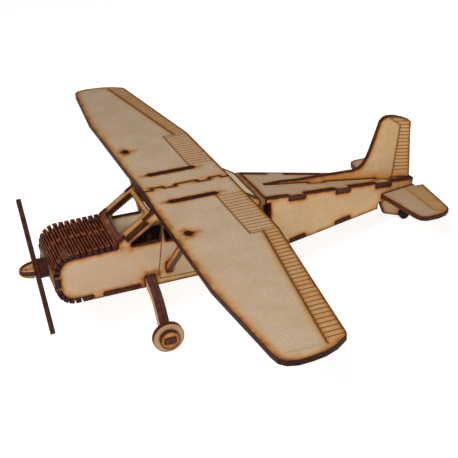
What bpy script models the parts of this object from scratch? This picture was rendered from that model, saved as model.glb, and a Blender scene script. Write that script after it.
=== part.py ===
"""Flat-pack wooden model of a high-wing light aircraft with a tail wheel.

Every piece is cut from one thickness of fibreboard and slotted together. The
nose points along -Y, the left wing along +X and up is +Z. All lengths below
are in millimetres in the building frame: the top of the wing is z = 0, the
root leading edge is y = 0 and the centre line is x = 0. The building frame is
then pitched nose-up until both main wheels and the tail wheel stand on z = 0.
"""

import math

import bmesh
import bpy
from mathutils import Matrix, Vector

MM = 0.001

# sheet and fits
SHEET = 3.0
GAP = 0.3

# cabin and cowl sides
SIDE_OUTER = 23.0
SIDE_INNER = SIDE_OUTER - SHEET
CABIN_AFT = 72.4
CABIN_FLOOR = -57.35

# wing
WING_HALF_SPAN = 202.5
WING_ROOT_CHORD = 59.6
SEAM_OFFSET = 1.4
SEAM_STEPS = (0.10, 0.23, 0.37, 0.63, 0.77, 0.90)
SIDE_TAB = (11.0, 42.0)
STRUT_TAB = (62.9, 66.9)
STRUT_PLANE = 7.5

# plate under the wing's middle that joins both halves
JOINER = (-0.6, 57.5)

# windscreen frame: foot and head of its upper face, and what lies along it
SCREEN_FOOT = (-25.0, -21.28)
SCREEN_HEAD = (-1.04, -4.8)
SCREEN_LENGTH = 28.2
SCREEN_TAB = (6.0, 21.8)
SCREEN_OPENING = (3.4, 24.6)
SCREEN_OPENING_HALF = 16.2
SCREEN_TAB_HALF = 22.4

# nose
NOSE_RADIUS = 9.5
NOSE_CENTRE_Y = -54.5
NOSE_TOP_CENTRE_Z = -34.6
NOSE_LOW_CENTRE_Z = -44.85
CHIN_END = -44.3
COWL_AFT = (-25.6, -24.6)
NOSE_TONGUES = ((-37.8, -35.3), (-46.0, -43.4))
TONGUE_TIP = -67.4
SHAFT_Z = -39.9
SHAFT_HOLE_RADIUS = 2.35
SHAFT_HALF = 1.5

# living hinge of the cowl plate: cuts that are open at both side edges, with a
# bridge on the centre line, take turns with slots that are closed there
HINGE_START = -29.3
HINGE_PITCH = 4.0
HINGE_FLAT_CUTS = 7
HINGE_CUT = 1.1
HINGE_SLOT = 0.9
HINGE_BRIDGE_HALF = 1.9
HINGE_SLOT_HALF = 20.9
CHIN_CUT_Y = -51.2
# for each bend: its centre's height, the first angle, the step and the count
HINGE_CUT_BENDS = ((NOSE_TOP_CENTRE_Z, 104.0, 18.4, 5), (NOSE_LOW_CENTRE_Z, 204.5, 19.9, 4))
HINGE_SLOT_BENDS = ((NOSE_TOP_CENTRE_Z, 94.8, 18.4, 5), (NOSE_LOW_CENTRE_Z, 214.5, 19.9, 4))

# main gear
GEAR_Y = -5.8
AXLE_Z = -76.96
AXLE_TAB_HALF = 1.6
GEAR_SLOT_TOP = -49.0
WHEEL_INNER_X = 52.8
WHEEL_RADIUS = 10.4
WHEEL_BORE = 3.75
CAP_RADIUS = 6.6
AXLE_TAB_END = 59.6

# tail cone: the sides' shoulder stands proud of their heel, and the cabin
# sides step forward under it
TAIL_FRONT = 76.4
TAIL_HEEL = 79.8
CABIN_HEEL = 69.8
SHOULDER_Z = -14.9
TAIL_END = 200.7
TAIL_FRONT_HALF = 23.4
TAIL_END_HALF = 4.9
DECK_SLOPE = -0.142
DECK_OFFSET = -0.61
KEEL_FRONT_Z = -51.6
KEEL_END = 170.0
KEEL_END_Z = -45.0
DECK_TABS = ((95.0, 107.5), (133.5, 144.8), (167.8, 180.9))
KEEL_TABS = ((95.6, 107.5), (133.3, 145.4))
FIN_TABS = ((118.0, 130.0), (172.0, 184.0))
TAILPLANE_TOP = -34.6
TAILPLANE_ROOT = 173.4

# tail wheel
TAIL_AXLE = (196.5, -57.355)
TAIL_WHEEL_RADIUS = 4.0
TAIL_AXLE_RADIUS = 0.9
TAIL_LEG_TAB = (178.6, 185.4)

# propeller
PROP_LONG_ARM = 49.5
PROP_SHORT_ARM = 44.2
PROP_WIDTH = 3.2
PROP_BOSS_RADIUS = 3.4
PROP_ANGLE = math.radians(50.0)
HUB_RADIUS = 6.5
HUB_DISC = 2.5
HUB_GAP = 0.15
SPINNER_HALF = 5.6
SPINNER_LENGTH = 9.4
SPINNER_STEPS = 40

MODEL_NAME = "light_aircraft_model"

FIBREBOARD = (0.58, 0.42, 0.26, 1.0)
CHARRED = (0.09, 0.035, 0.02, 1.0)
BLACKENED = (0.02, 0.018, 0.016, 1.0)


def clear_scene():
    """Remove whatever the open file holds."""
    for item in list(bpy.data.objects):
        bpy.data.objects.remove(item, do_unlink=True)


def make_material(name, colour, roughness):
    """Return a Principled material for one piece."""
    material = bpy.data.materials.new(name)
    material.use_nodes = True
    shader = material.node_tree.nodes["Principled BSDF"]
    shader.inputs["Base Color"].default_value = colour
    shader.inputs["Roughness"].default_value = roughness
    shader.inputs["Metallic"].default_value = 0.0
    return material


def make_collection(name):
    """Return a new collection linked to the scene."""
    collection = bpy.data.collections.new(name)
    bpy.context.scene.collection.children.link(collection)
    return collection


def arc(centre, radius, start_deg, end_deg, steps):
    """Return points of an arc, both ends included."""
    points = []
    for step in range(steps + 1):
        angle = math.radians(start_deg + (end_deg - start_deg) * step / steps)
        points.append((centre[0] + radius * math.cos(angle), centre[1] + radius * math.sin(angle)))
    return points


def circle(centre, radius, steps=48):
    """Return the points of a full circle without repeating the first."""
    return arc(centre, radius, 0.0, 360.0, steps)[:-1]


def box(low_u, high_u, low_v, high_v):
    """Return the corners of a rectangle."""
    return [(low_u, low_v), (high_u, low_v), (high_u, high_v), (low_u, high_v)]


def rounded(points, radius, steps=4):
    """Round every corner of a closed outline with the same radius."""
    result = []
    count = len(points)
    for index in range(count):
        corner = Vector(points[index])
        before = Vector(points[index - 1]) - corner
        after = Vector(points[(index + 1) % count]) - corner
        reach = min(radius, before.length * 0.45, after.length * 0.45)
        first = corner + before.normalized() * reach
        last = corner + after.normalized() * reach
        for step in range(steps + 1):
            along = step / steps
            point = first * (1 - along) ** 2 + corner * 2 * along * (1 - along) + last * along ** 2
            result.append((point.x, point.y))
    return result


def lying(z_low):
    """Placement of a level plate: outline in X and Y, underside at z_low."""
    return Matrix.Translation((0.0, 0.0, z_low + SHEET / 2))


def upright_along(x_centre):
    """Placement of a fore-and-aft plate: outline in Y and Z, centred on x_centre."""
    turn = Matrix(((0, 0, 1, 0), (1, 0, 0, 0), (0, 1, 0, 0), (0, 0, 0, 1)))
    return Matrix.Translation((x_centre, 0.0, 0.0)) @ turn


def upright_across(y_front):
    """Placement of a cross plate: outline in X and Z, front face at y_front."""
    turn = Matrix(((1, 0, 0, 0), (0, 0, -1, 0), (0, 1, 0, 0), (0, 0, 0, 1)))
    return Matrix.Translation((0.0, y_front + SHEET / 2, 0.0)) @ turn


def sloping(foot, head, below=True):
    """Placement of a plate with one face on the line from foot to head (y, z).

    Its outline is (x, distance from the foot), and the plate lies below the
    line or above it.
    """
    angle = math.atan2(head[1] - foot[1], head[0] - foot[0])
    turn = Matrix.Rotation(angle, 4, "X")
    sink = Matrix.Translation((0.0, 0.0, -SHEET / 2 if below else SHEET / 2))
    return Matrix.Translation((0.0, foot[0], foot[1])) @ turn @ sink


def scaled(matrix):
    """Turn a placement in millimetres into one in metres."""
    result = matrix.copy()
    result.translation = result.translation * MM
    return result


def parking_matrix():
    """Pitch the building frame until the three wheels stand on the floor."""
    run = TAIL_AXLE[0] - GEAR_Y
    rise = TAIL_AXLE[1] - AXLE_Z
    line = math.atan2(rise, run)
    tangent = math.asin((WHEEL_RADIUS - TAIL_WHEEL_RADIUS) / math.hypot(run, rise))
    pitch = Matrix.Rotation(-(line + tangent), 4, "X")
    main_axle = pitch @ Vector((0.0, GEAR_Y, AXLE_Z))
    lift = Matrix.Translation((0.0, 0.0, WHEEL_RADIUS - main_axle.z))
    return Matrix.Translation((0.0, PARK_SHIFT_Y, 0.0)) @ lift @ pitch


# moves the middle of the parked model's length to y = 0
PARK_SHIFT_Y = -56.465

PARK = parking_matrix()


class Builder:
    """Keeps the collection and the materials, and makes the plates."""

    def __init__(self, parts):
        """Remember the collection that takes the pieces."""
        self.parts = parts

    def plate(self, name, outline, placement, colour=FIBREBOARD, holes=(), thickness=SHEET, pivot=None):
        """Cut one piece from a flat outline and place it.

        Args:
            name: object name.
            outline: closed outline, in millimetres, in the plate's own plane.
            placement: matrix in millimetres from the plate's plane to the building frame.
            colour: base colour of the piece.
            holes: closed outlines cut through the plate.
            thickness: thickness of the plate.
            pivot: point of the building frame that becomes the object's origin.
        """
        curve = bpy.data.curves.new(name + "_outline", "CURVE")
        curve.dimensions = "2D"
        curve.fill_mode = "BOTH"
        curve.extrude = thickness * MM / 2
        for loop in [outline, *holes]:
            spline = curve.splines.new("POLY")
            spline.points.add(len(loop) - 1)
            for point, (u, v) in zip(spline.points, loop):
                point.co = (u * MM, v * MM, 0.0, 1.0)
            spline.use_cyclic_u = True
        drawn = bpy.data.objects.new(name + "_outline", curve)
        self.parts.objects.link(drawn)
        drawn.matrix_world = scaled(PARK @ placement)
        bpy.context.view_layer.update()
        piece = self.as_mesh(drawn, name)
        if pivot is not None:
            self.move_origin(piece, pivot)
        piece.data.materials.clear()
        piece.data.materials.append(make_material(name, colour, 0.6))
        return piece

    def as_mesh(self, drawn, name):
        """Replace a curve object by a welded mesh object in the same place."""
        evaluated = drawn.evaluated_get(bpy.context.evaluated_depsgraph_get())
        mesh = bpy.data.meshes.new_from_object(evaluated)
        mesh.name = name
        shape = bmesh.new()
        shape.from_mesh(mesh)
        bmesh.ops.remove_doubles(shape, verts=shape.verts, dist=1e-6)
        bmesh.ops.recalc_face_normals(shape, faces=shape.faces)
        shape.to_mesh(mesh)
        shape.free()
        piece = bpy.data.objects.new(name, mesh)
        self.parts.objects.link(piece)
        piece.matrix_world = drawn.matrix_world.copy()
        bpy.data.objects.remove(drawn, do_unlink=True)
        return piece

    def move_origin(self, piece, pivot):
        """Put the object's origin on a point of the building frame."""
        target = PARK @ Vector(pivot) * MM
        shift = piece.matrix_world.inverted() @ target
        piece.data.transform(Matrix.Translation(-shift))
        piece.matrix_world = piece.matrix_world @ Matrix.Translation(shift)


def mirror(points):
    """Mirror an outline across its v axis, keeping its direction."""
    return [(-u, v) for u, v in reversed(points)]


def seam_points(shift):
    """Points of a wing half's finger-jointed root edge, from front to back.

    The shift moves the edge off the seam's middle line: positive on the left
    half, negative on the right half, half a gap each.
    """
    points = []
    side = 1.0
    start = 0.0
    for step in (*SEAM_STEPS, 1.0):
        end = step * WING_ROOT_CHORD
        if step < 1.0:
            end += side * shift
        points.append((side * SEAM_OFFSET + shift, start))
        points.append((side * SEAM_OFFSET + shift, end))
        start = end
        side = -side
    return points


def wing_outline_left():
    """Outline of the left wing half from the root leading edge round the tip."""
    edge = [
        (33.0, -1.4),
        (128.0, -2.4),
        (192.0, 3.0),
        (197.6, 4.2),
        (200.8, 7.2),
        (WING_HALF_SPAN, 12.8),
        (202.4, 20.0),
        (201.4, 27.6),
        (198.6, 35.4),
        (193.6, 43.0),
        (191.0, 44.2),
        (80.0, 59.2),
    ]
    return edge


def build_wings(builder):
    """Two wing halves that meet in a finger joint on the centre line."""
    slot = box(SIDE_INNER - GAP, SIDE_OUTER + GAP, SIDE_TAB[0] - GAP, SIDE_TAB[1] + GAP)
    hole_front = STRUT_PLANE - SHEET / 2 - GAP
    hole_back = STRUT_PLANE + SHEET / 2 + GAP
    hole = box(STRUT_TAB[0] - GAP, STRUT_TAB[1] + GAP, hole_front, hole_back)
    left_seam = seam_points(GAP / 2)
    left = list(reversed(left_seam)) + wing_outline_left()
    builder.plate("wing_left", left, lying(-SHEET), holes=(slot, hole))
    right_seam = seam_points(-GAP / 2)
    right_edge = [(-u, v) for u, v in wing_outline_left()]
    right = list(reversed(right_seam)) + right_edge
    builder.plate("wing_right", right, lying(-SHEET), holes=(mirror(slot), mirror(hole)))


def screen_point(along, below):
    """Point (y, z) at a distance along the windscreen's face and below it."""
    run = SCREEN_HEAD[0] - SCREEN_FOOT[0]
    rise = SCREEN_HEAD[1] - SCREEN_FOOT[1]
    length = math.hypot(run, rise)
    u = run / length
    v = rise / length
    return (SCREEN_FOOT[0] + u * along + v * below, SCREEN_FOOT[1] + v * along - u * below)


def screen_y(z):
    """Station at which the windscreen's face reaches a height."""
    along = (z - SCREEN_FOOT[1]) / (SCREEN_HEAD[1] - SCREEN_FOOT[1])
    return SCREEN_FOOT[0] + (SCREEN_HEAD[0] - SCREEN_FOOT[0]) * along


def touching_angle(point, centre, radius):
    """Angle in degrees at which a line from a point behind touches the top of an arc."""
    run = point[0] - centre[0]
    rise = point[1] - centre[1]
    return math.degrees(math.atan2(rise, run) + math.acos(radius / math.hypot(run, rise)))


def cowl_profile(offset, tongues=()):
    """Line (y, z) along the cowl's edge, offset outwards, from the windscreen to the chin.

    Tongues are spans of z where the line runs forward through the bent plate.
    """
    radius = NOSE_RADIUS + offset
    top = (NOSE_CENTRE_Y, NOSE_TOP_CENTRE_Z)
    low = (NOSE_CENTRE_Y, NOSE_LOW_CENTRE_Z)
    front = NOSE_CENTRE_Y - radius
    aft = (COWL_AFT[0] - min(offset, 0.0), COWL_AFT[1] + offset)
    points = [aft]
    points += arc(top, radius, touching_angle(aft, top, radius), 180.0, 12)
    first_angle = 180.0
    for bottom, upper in tongues:
        points += [(front, upper), (TONGUE_TIP, upper), (TONGUE_TIP, bottom), (front, bottom)]
        first_angle = 190.0
    points += arc(low, radius, first_angle, 270.0, 12)
    points.append((CHIN_END - min(offset, 0.0), NOSE_LOW_CENTRE_Z - radius))
    return points


def side_front_outline():
    """Outline (y, z) of a cabin side, from the cowl's top round the nose and back."""
    edge = cowl_profile(-GAP, NOSE_TONGUES)
    edge.append((CHIN_END + GAP, CABIN_FLOOR))
    edge += [
        (-36.8, CABIN_FLOOR),
        (-36.8, CABIN_FLOOR + SHEET + GAP),
        (-12.9, CABIN_FLOOR + SHEET + GAP),
        (-12.9, CABIN_FLOOR),
    ]
    slot_front = GEAR_Y - SHEET - 1.5 * GAP
    slot_back = GEAR_Y + SHEET + 1.5 * GAP
    edge += [
        (slot_front, CABIN_FLOOR),
        (slot_front, GEAR_SLOT_TOP),
        (slot_back, GEAR_SLOT_TOP),
        (slot_back, CABIN_FLOOR),
    ]
    edge += [(31.5, CABIN_FLOOR), (CABIN_HEEL, KEEL_FRONT_Z)]
    edge += [(CABIN_HEEL, SHOULDER_Z), (CABIN_AFT, SHOULDER_Z + 0.2)]
    edge += [(CABIN_AFT, -10.6), (60.2, -SHEET - GAP)]
    edge += [
        (SIDE_TAB[1], -SHEET - GAP),
        (SIDE_TAB[1], 0.0),
        (SIDE_TAB[0], 0.0),
        (SIDE_TAB[0], -SHEET - GAP),
    ]
    inside = SHEET + GAP
    edge += [
        (screen_y(-SHEET - GAP), -SHEET - GAP),
        screen_point(SCREEN_TAB[1] + GAP, 0.0),
        screen_point(SCREEN_TAB[1] + GAP, inside),
        screen_point(SCREEN_TAB[0] - GAP, inside),
        screen_point(SCREEN_TAB[0] - GAP, 0.0),
        screen_point(0.0, 0.0),
    ]
    return edge


def side_windows():
    """Window and strut openings (y, z) of a cabin side."""
    front = [(-16.5, -25.4), (2.6, -25.6), (4.2, -14.2), (1.6, -11.0), (-16.4, -22.8)]
    rear = [(6.4, -26.6), (38.0, -26.6), (41.0, -8.0), (7.4, -8.0), (5.2, -18.7)]
    strut = box(STRUT_PLANE - SHEET / 2 - GAP, STRUT_PLANE + SHEET / 2 + GAP, -49.3, -42.1)
    return [rounded(front, 0.8), rounded(rear, 0.8), strut]


def build_cabin(builder):
    """Cabin sides, windscreen frame, floor, dash, wing joiner and the plate behind the wing."""
    outline = side_front_outline()
    windows = side_windows()
    centre = SIDE_OUTER - SHEET / 2
    builder.plate("side_front_left", outline, upright_along(centre), holes=windows)
    builder.plate("side_front_right", outline, upright_along(-centre), holes=windows)
    inner = SIDE_INNER - GAP
    frame = [
        (-inner, 0.0),
        (inner, 0.0),
        (inner, SCREEN_TAB[0]),
        (SCREEN_TAB_HALF, SCREEN_TAB[0]),
        (SCREEN_TAB_HALF, SCREEN_TAB[1]),
        (inner, SCREEN_TAB[1]),
        (inner, SCREEN_LENGTH),
        (-inner, SCREEN_LENGTH),
        (-inner, SCREEN_TAB[1]),
        (-SCREEN_TAB_HALF, SCREEN_TAB[1]),
        (-SCREEN_TAB_HALF, SCREEN_TAB[0]),
        (-inner, SCREEN_TAB[0]),
    ]
    opening = box(-SCREEN_OPENING_HALF, SCREEN_OPENING_HALF, *SCREEN_OPENING)
    builder.plate(
        "windscreen_frame", frame, sloping(SCREEN_FOOT, SCREEN_HEAD), holes=(rounded(opening, 1.0),)
    )
    floor = [
        (-inner, CHIN_END + GAP),
        (inner, CHIN_END + GAP),
        (inner, -36.5),
        (SIDE_OUTER, -36.5),
        (SIDE_OUTER, -13.2),
        (inner, -13.2),
        (inner, 31.2),
        (-inner, 31.2),
        (-inner, -13.2),
        (-SIDE_OUTER, -13.2),
        (-SIDE_OUTER, -36.5),
        (-inner, -36.5),
    ]
    builder.plate("floor_front", floor, lying(CABIN_FLOOR))
    mid_foot = (31.5 + GAP, CABIN_FLOOR + SHEET)
    mid_head = (CABIN_AFT, KEEL_FRONT_Z + SHEET)
    length = math.hypot(mid_head[0] - mid_foot[0], mid_head[1] - mid_foot[1])
    builder.plate("floor_mid", box(-inner, inner, 0.6, length - 0.6), sloping(mid_foot, mid_head))
    dash = box(-inner, inner, CABIN_FLOOR + SHEET + GAP, COWL_AFT[1] - 2 * GAP)
    builder.plate("dash_former", dash, upright_across(-29.6))
    builder.plate("wing_joiner", box(-inner, inner, *JOINER), lying(-2 * SHEET - GAP))
    top_foot = (60.6, -3.4)
    top_head = (CABIN_AFT, -10.6)
    length = math.hypot(top_head[0] - top_foot[0], top_head[1] - top_foot[1])
    builder.plate("top_plate", box(-inner, inner, 0.0, length - 1.6), sloping(top_foot, top_head))


def build_bulkhead(builder):
    """Cross plate between the cabin and the tail cone, narrower between its bands."""
    inner = SIDE_INNER - GAP
    half = SIDE_OUTER
    top = -11.3
    low = KEEL_FRONT_Z
    right_side = [
        (inner, low),
        (half, low),
        (half, -45.0),
        (inner, -45.0),
        (inner, -36.0),
        (half, -36.0),
        (half, -28.0),
        (inner, -28.0),
        (inner, -15.0),
        (half, -15.0),
        (half, top),
    ]
    builder.plate("rear_bulkhead", right_side + mirror(right_side), upright_across(CABIN_AFT + GAP))


def cowl_plate_outline():
    """Closed section (y, z) of the bent cowl plate."""
    inner = cowl_profile(0.0)
    outer = cowl_profile(SHEET)
    return inner + list(reversed(outer))


def build_cowl(builder):
    """The bent cowl plate with the shaft hole, the notches for the side tongues and the hinge cuts."""
    outline = cowl_plate_outline()
    width = 2 * SIDE_OUTER
    wrap = builder.plate("cowl_wrap", outline, upright_along(0.0), CHARRED, thickness=width)
    bpy.ops.mesh.primitive_cylinder_add(vertices=32, radius=SHAFT_HOLE_RADIUS * MM, depth=20 * MM)
    cutter = bpy.context.object
    cutter.name = "cut_shaft_hole"
    across = Matrix.Rotation(math.radians(90.0), 4, "X")
    cutter.matrix_world = scaled(PARK @ Matrix.Translation((0.0, -65.0, SHAFT_Z)) @ across)
    cut_away(wrap, cutter)
    for index, (bottom, upper) in enumerate(NOSE_TONGUES):
        for side, label in ((1, "left"), (-1, "right")):
            middle = (side * (SIDE_INNER + SHEET), -65.0, (bottom + upper) / 2)
            size = (2 * SHEET + 2 * GAP, 10.0, upper - bottom + 2 * GAP)
            bpy.ops.mesh.primitive_cube_add(size=1.0)
            cutter = bpy.context.object
            cutter.name = "cut_notch_" + label + "_" + str(index + 1)
            cutter.data.transform(Matrix.Diagonal((*[length * MM for length in size], 1.0)))
            cutter.matrix_world = scaled(PARK @ Matrix.Translation(middle))
            cut_away(wrap, cutter)
    cut_away(wrap, hinge_cutter())


def bend_stations(bends):
    """Stations (y, z, angle) at the middle of the sheet, at equal steps round each bend."""
    stations = []
    for height, first, step, count in bends:
        for index in range(count):
            lean = first + step * index
            reach = NOSE_RADIUS + SHEET / 2
            y = NOSE_CENTRE_Y + reach * math.cos(math.radians(lean))
            stations.append((y, height + reach * math.sin(math.radians(lean)), lean))
    return stations


def hinge_cutter():
    """One cutter with every cut and slot of the cowl plate's living hinge."""
    top = COWL_AFT[1] + SHEET / 2
    chin = NOSE_LOW_CENTRE_Z - NOSE_RADIUS - SHEET / 2
    flat = [HINGE_START - HINGE_PITCH * index for index in range(HINGE_FLAT_CUTS)]
    cuts = [(y, top, 90.0) for y in flat] + bend_stations(HINGE_CUT_BENDS) + [(CHIN_CUT_Y, chin, 270.0)]
    slots = [(y + HINGE_PITCH / 2, top, 90.0) for y in flat] + bend_stations(HINGE_SLOT_BENDS)
    overhang = SIDE_OUTER + 1.0
    spans = [(slot, HINGE_SLOT, -HINGE_SLOT_HALF, HINGE_SLOT_HALF) for slot in slots]
    spans += [(cut, HINGE_CUT, HINGE_BRIDGE_HALF, overhang) for cut in cuts]
    spans += [(cut, HINGE_CUT, -overhang, -HINGE_BRIDGE_HALF) for cut in cuts]
    shape = bmesh.new()
    for (y, z, lean), width, low_x, high_x in spans:
        place = Matrix.Translation(((low_x + high_x) / 2, y, z))
        turn = Matrix.Rotation(math.radians(lean - 90.0), 4, "X")
        size = Matrix.Diagonal((high_x - low_x, width, SHEET + 2.0, 1.0))
        bmesh.ops.create_cube(shape, size=1.0, matrix=Matrix.Scale(MM, 4) @ place @ turn @ size)
    mesh = bpy.data.meshes.new("cut_living_hinge")
    shape.to_mesh(mesh)
    shape.free()
    cutter = bpy.data.objects.new("cut_living_hinge", mesh)
    bpy.context.scene.collection.objects.link(cutter)
    cutter.matrix_world = scaled(PARK)
    return cutter


def cut_away(piece, cutter):
    """Subtract a cutter from a piece and hide the cutter."""
    hide_cutter(cutter)
    cut = piece.modifiers.new(cutter.name, "BOOLEAN")
    cut.operation = "DIFFERENCE"
    cut.object = cutter


def hide_cutter(cutter):
    """Keep a cutter out of the picture and in its own collection."""
    cutter.display_type = "WIRE"
    cutter.hide_render = True
    for home in list(cutter.users_collection):
        home.objects.unlink(cutter)
    bpy.data.collections["cutters"].objects.link(cutter)


def tail_half(y):
    """Half-width of the tail cone's outer faces at a station."""
    along = (y - TAIL_FRONT) / (TAIL_END - TAIL_FRONT)
    return TAIL_FRONT_HALF + (TAIL_END_HALF - TAIL_FRONT_HALF) * along


def tail_angle():
    """Angle by which each tail cone side turns in from the centre line."""
    return math.atan2(TAIL_FRONT_HALF - TAIL_END_HALF, TAIL_END - TAIL_FRONT)


def deck_z(y):
    """Height of the tail cone's top."""
    return DECK_SLOPE * y + DECK_OFFSET


def keel_z(y):
    """Height of the tail cone's underside."""
    along = (y - TAIL_FRONT) / (KEEL_END - TAIL_FRONT)
    return KEEL_FRONT_Z + (KEEL_END_Z - KEEL_FRONT_Z) * along


def deck_point(y, below=0.0):
    """Point (y, z) on the deck's upper face, or square below it."""
    length = math.hypot(1.0, DECK_SLOPE)
    return (y + below * DECK_SLOPE / length, deck_z(y) - below / length)


def keel_point(y, above=0.0):
    """Point (y, z) on the tail cone's underside, or square above it."""
    slope = (KEEL_END_Z - KEEL_FRONT_Z) / (KEEL_END - TAIL_FRONT)
    length = math.hypot(1.0, slope)
    return (y - above * slope / length, keel_z(y) + above / length)


def cone_point(y, inset):
    """Point (x, y) of the left side, square in from its outer face at a station."""
    angle = tail_angle()
    return (tail_half(y) - inset * math.cos(angle), y - inset * math.sin(angle))


def side_rear_outline():
    """Outline (distance along the plate, z) of a tail cone side."""
    depth = SHEET + GAP
    edge = [keel_point(TAIL_HEEL)]
    for start, end in KEEL_TABS:
        edge += [
            keel_point(start - GAP),
            keel_point(start - GAP, depth),
            keel_point(end + GAP, depth),
            keel_point(end + GAP),
        ]
    slot_low = TAILPLANE_TOP - SHEET - GAP
    slot_top = TAILPLANE_TOP + GAP
    slot_front = TAILPLANE_ROOT - GAP
    edge += [
        (KEEL_END, KEEL_END_Z),
        (KEEL_END, -40.4),
        (196.0, -40.4),
        (TAIL_END, -38.9),
        (TAIL_END, slot_low),
        (slot_front, slot_low),
        (slot_front, slot_top),
        (TAIL_END, slot_top),
        (TAIL_END, deck_z(TAIL_END)),
    ]
    for start, end in reversed(DECK_TABS):
        edge += [
            deck_point(end + GAP),
            deck_point(end + GAP, depth),
            deck_point(start - GAP, depth),
            deck_point(start - GAP),
        ]
    edge += [(TAIL_FRONT, deck_z(TAIL_FRONT)), (TAIL_FRONT, SHOULDER_Z + 0.2), (TAIL_HEEL, SHOULDER_Z)]
    stretch = 1.0 / math.cos(tail_angle())
    return [((y - TAIL_FRONT) * stretch, z) for y, z in edge]


def tail_side_placement(side):
    """Placement of a tail cone side: outline (distance along, z), plate inside its outer face."""
    swing = Matrix.Rotation(side * tail_angle(), 4, "Z")
    start = Matrix.Translation((side * TAIL_FRONT_HALF, TAIL_FRONT, 0.0))
    return start @ swing @ upright_along(-side * SHEET / 2)


def cone_plate_outline(front, back, tabs, cosine):
    """Outline (x, distance along the slope) of a plate between the tail cone sides."""
    inset = (SHEET + GAP) / math.cos(tail_angle())
    right = [(tail_half(front) - inset, front)]
    for start, end in tabs:
        right += [
            cone_point(start, SHEET + GAP),
            cone_point(start, 0.0),
            cone_point(end, 0.0),
            cone_point(end, SHEET + GAP),
        ]
    right.append((tail_half(back) - inset, back))
    points = right + mirror(right)
    return [(x, (y - front) / cosine) for x, y in points]


def build_tail_cone(builder):
    """Tail cone sides, deck and lower plate."""
    outline = side_rear_outline()
    builder.plate("side_rear_left", outline, tail_side_placement(1))
    builder.plate("side_rear_right", outline, tail_side_placement(-1))
    front = TAIL_FRONT + GAP
    back = TAIL_END + 1.0
    cosine = math.cos(math.atan(DECK_SLOPE))
    deck = cone_plate_outline(front, back, DECK_TABS, cosine)
    slots = []
    for start, end in FIN_TABS:
        low = (start - GAP - front) / cosine
        high = (end + GAP - front) / cosine
        slots.append(box(-SHEET / 2 - GAP, SHEET / 2 + GAP, low, high))
    placement = sloping((front, deck_z(front)), (back, deck_z(back)))
    builder.plate("deck_plate", deck, placement, holes=slots)
    cosine = math.cos(math.atan2(KEEL_END_Z - KEEL_FRONT_Z, KEEL_END - TAIL_FRONT))
    keel = cone_plate_outline(front, KEEL_END, KEEL_TABS, cosine)
    placement = sloping((front, keel_z(front)), (KEEL_END, KEEL_END_Z), below=False)
    builder.plate("floor_rear", keel, placement)


def fin_outline():
    """Outline (y, z) of the fin, rudder and dorsal fillet with tabs down into the deck."""
    edge = [
        (199.4, -22.0),
        (199.0, -13.1),
        (198.1, 1.7),
        (197.9, 14.3),
        (196.2, 16.1),
        (190.7, 18.6),
        (185.3, 20.6),
        (179.4, 21.4),
        (176.1, 20.7),
        (173.3, 18.2),
        (170.4, 9.4),
        (166.7, -1.2),
        (164.3, -7.0),
        (161.4, -11.6),
        (158.4, -14.0),
        (153.8, -15.2),
        (147.4, -14.9),
        (129.4, -14.1),
        (111.7, -13.6),
        (97.0, -12.3),
        (84.6, -12.2),
    ]
    base = [deck_point(84.4, -GAP)]
    for start, end in FIN_TABS:
        base += [
            deck_point(start, -GAP),
            deck_point(start, SHEET),
            deck_point(end, SHEET),
            deck_point(end, -GAP),
        ]
    base.append(deck_point(199.6, -GAP))
    return edge + base


def build_tail(builder):
    """Fin, tailplane, tail wheel leg, tail wheels and their pin."""
    builder.plate("fin", fin_outline(), upright_along(0.0))
    half = [
        (0.0, TAILPLANE_ROOT),
        (10.0, TAILPLANE_ROOT),
        (45.6, 178.4),
        (49.6, 180.2),
        (51.6, 184.0),
        (51.8, 192.6),
        (50.0, 199.6),
        (47.0, 203.8),
        (44.0, 205.0),
        (6.6, 208.8),
        (6.4, 202.6),
        (0.0, 202.6),
    ]
    plane = half + [(-u, v) for u, v in reversed(half[1:-1])]
    slot = box(-SHEET / 2 - GAP, SHEET / 2 + GAP, TAIL_LEG_TAB[0] - GAP, TAIL_LEG_TAB[1] + GAP)
    builder.plate("tailplane", plane, lying(TAILPLANE_TOP - SHEET), holes=(slot,))
    top = TAILPLANE_TOP - SHEET - GAP
    leg = [
        (176.4, top),
        (TAIL_LEG_TAB[0], top),
        (TAIL_LEG_TAB[0], TAILPLANE_TOP),
        (TAIL_LEG_TAB[1], TAILPLANE_TOP),
        (TAIL_LEG_TAB[1], top),
        (188.0, top),
        (189.0, -46.0),
        (199.0, -56.25),
        (198.6, -58.85),
        (195.6, -60.05),
        (180.6, -55.0),
        (177.4, -47.6),
    ]
    bore = circle(TAIL_AXLE, TAIL_AXLE_RADIUS + 0.15, 24)
    builder.plate("tail_leg", leg, upright_along(0.0), holes=(bore,))
    pivot = (0.0, *TAIL_AXLE)
    wheel = circle(TAIL_AXLE, TAIL_WHEEL_RADIUS, 32)
    hole = circle(TAIL_AXLE, TAIL_AXLE_RADIUS + 0.05, 24)
    offset = SHEET + GAP
    for side, name in ((1, "tail_wheel_left"), (-1, "tail_wheel_right")):
        builder.plate(name, wheel, upright_along(side * offset), BLACKENED, holes=(hole,), pivot=pivot)
    pin = circle(TAIL_AXLE, TAIL_AXLE_RADIUS, 24)
    width = 3 * SHEET + 2 * GAP
    builder.plate("tail_axle", pin, upright_along(0.0), BLACKENED, thickness=width, pivot=pivot)


def strut_outline(side):
    """Outline (x, z) of a strut with a foot in the cabin side and a tab up through the wing."""
    foot_x = SIDE_OUTER + GAP
    low = -49.0
    high = -42.4
    under = -SHEET - GAP
    points = [
        (SIDE_INNER, low),
        (foot_x, low),
        (67.2, under),
        (STRUT_TAB[1], under),
        (STRUT_TAB[1], 0.0),
        (STRUT_TAB[0], 0.0),
        (STRUT_TAB[0], under),
        (60.6, under),
        (foot_x, high),
        (SIDE_INNER, high),
    ]
    return points if side > 0 else mirror(points)


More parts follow.
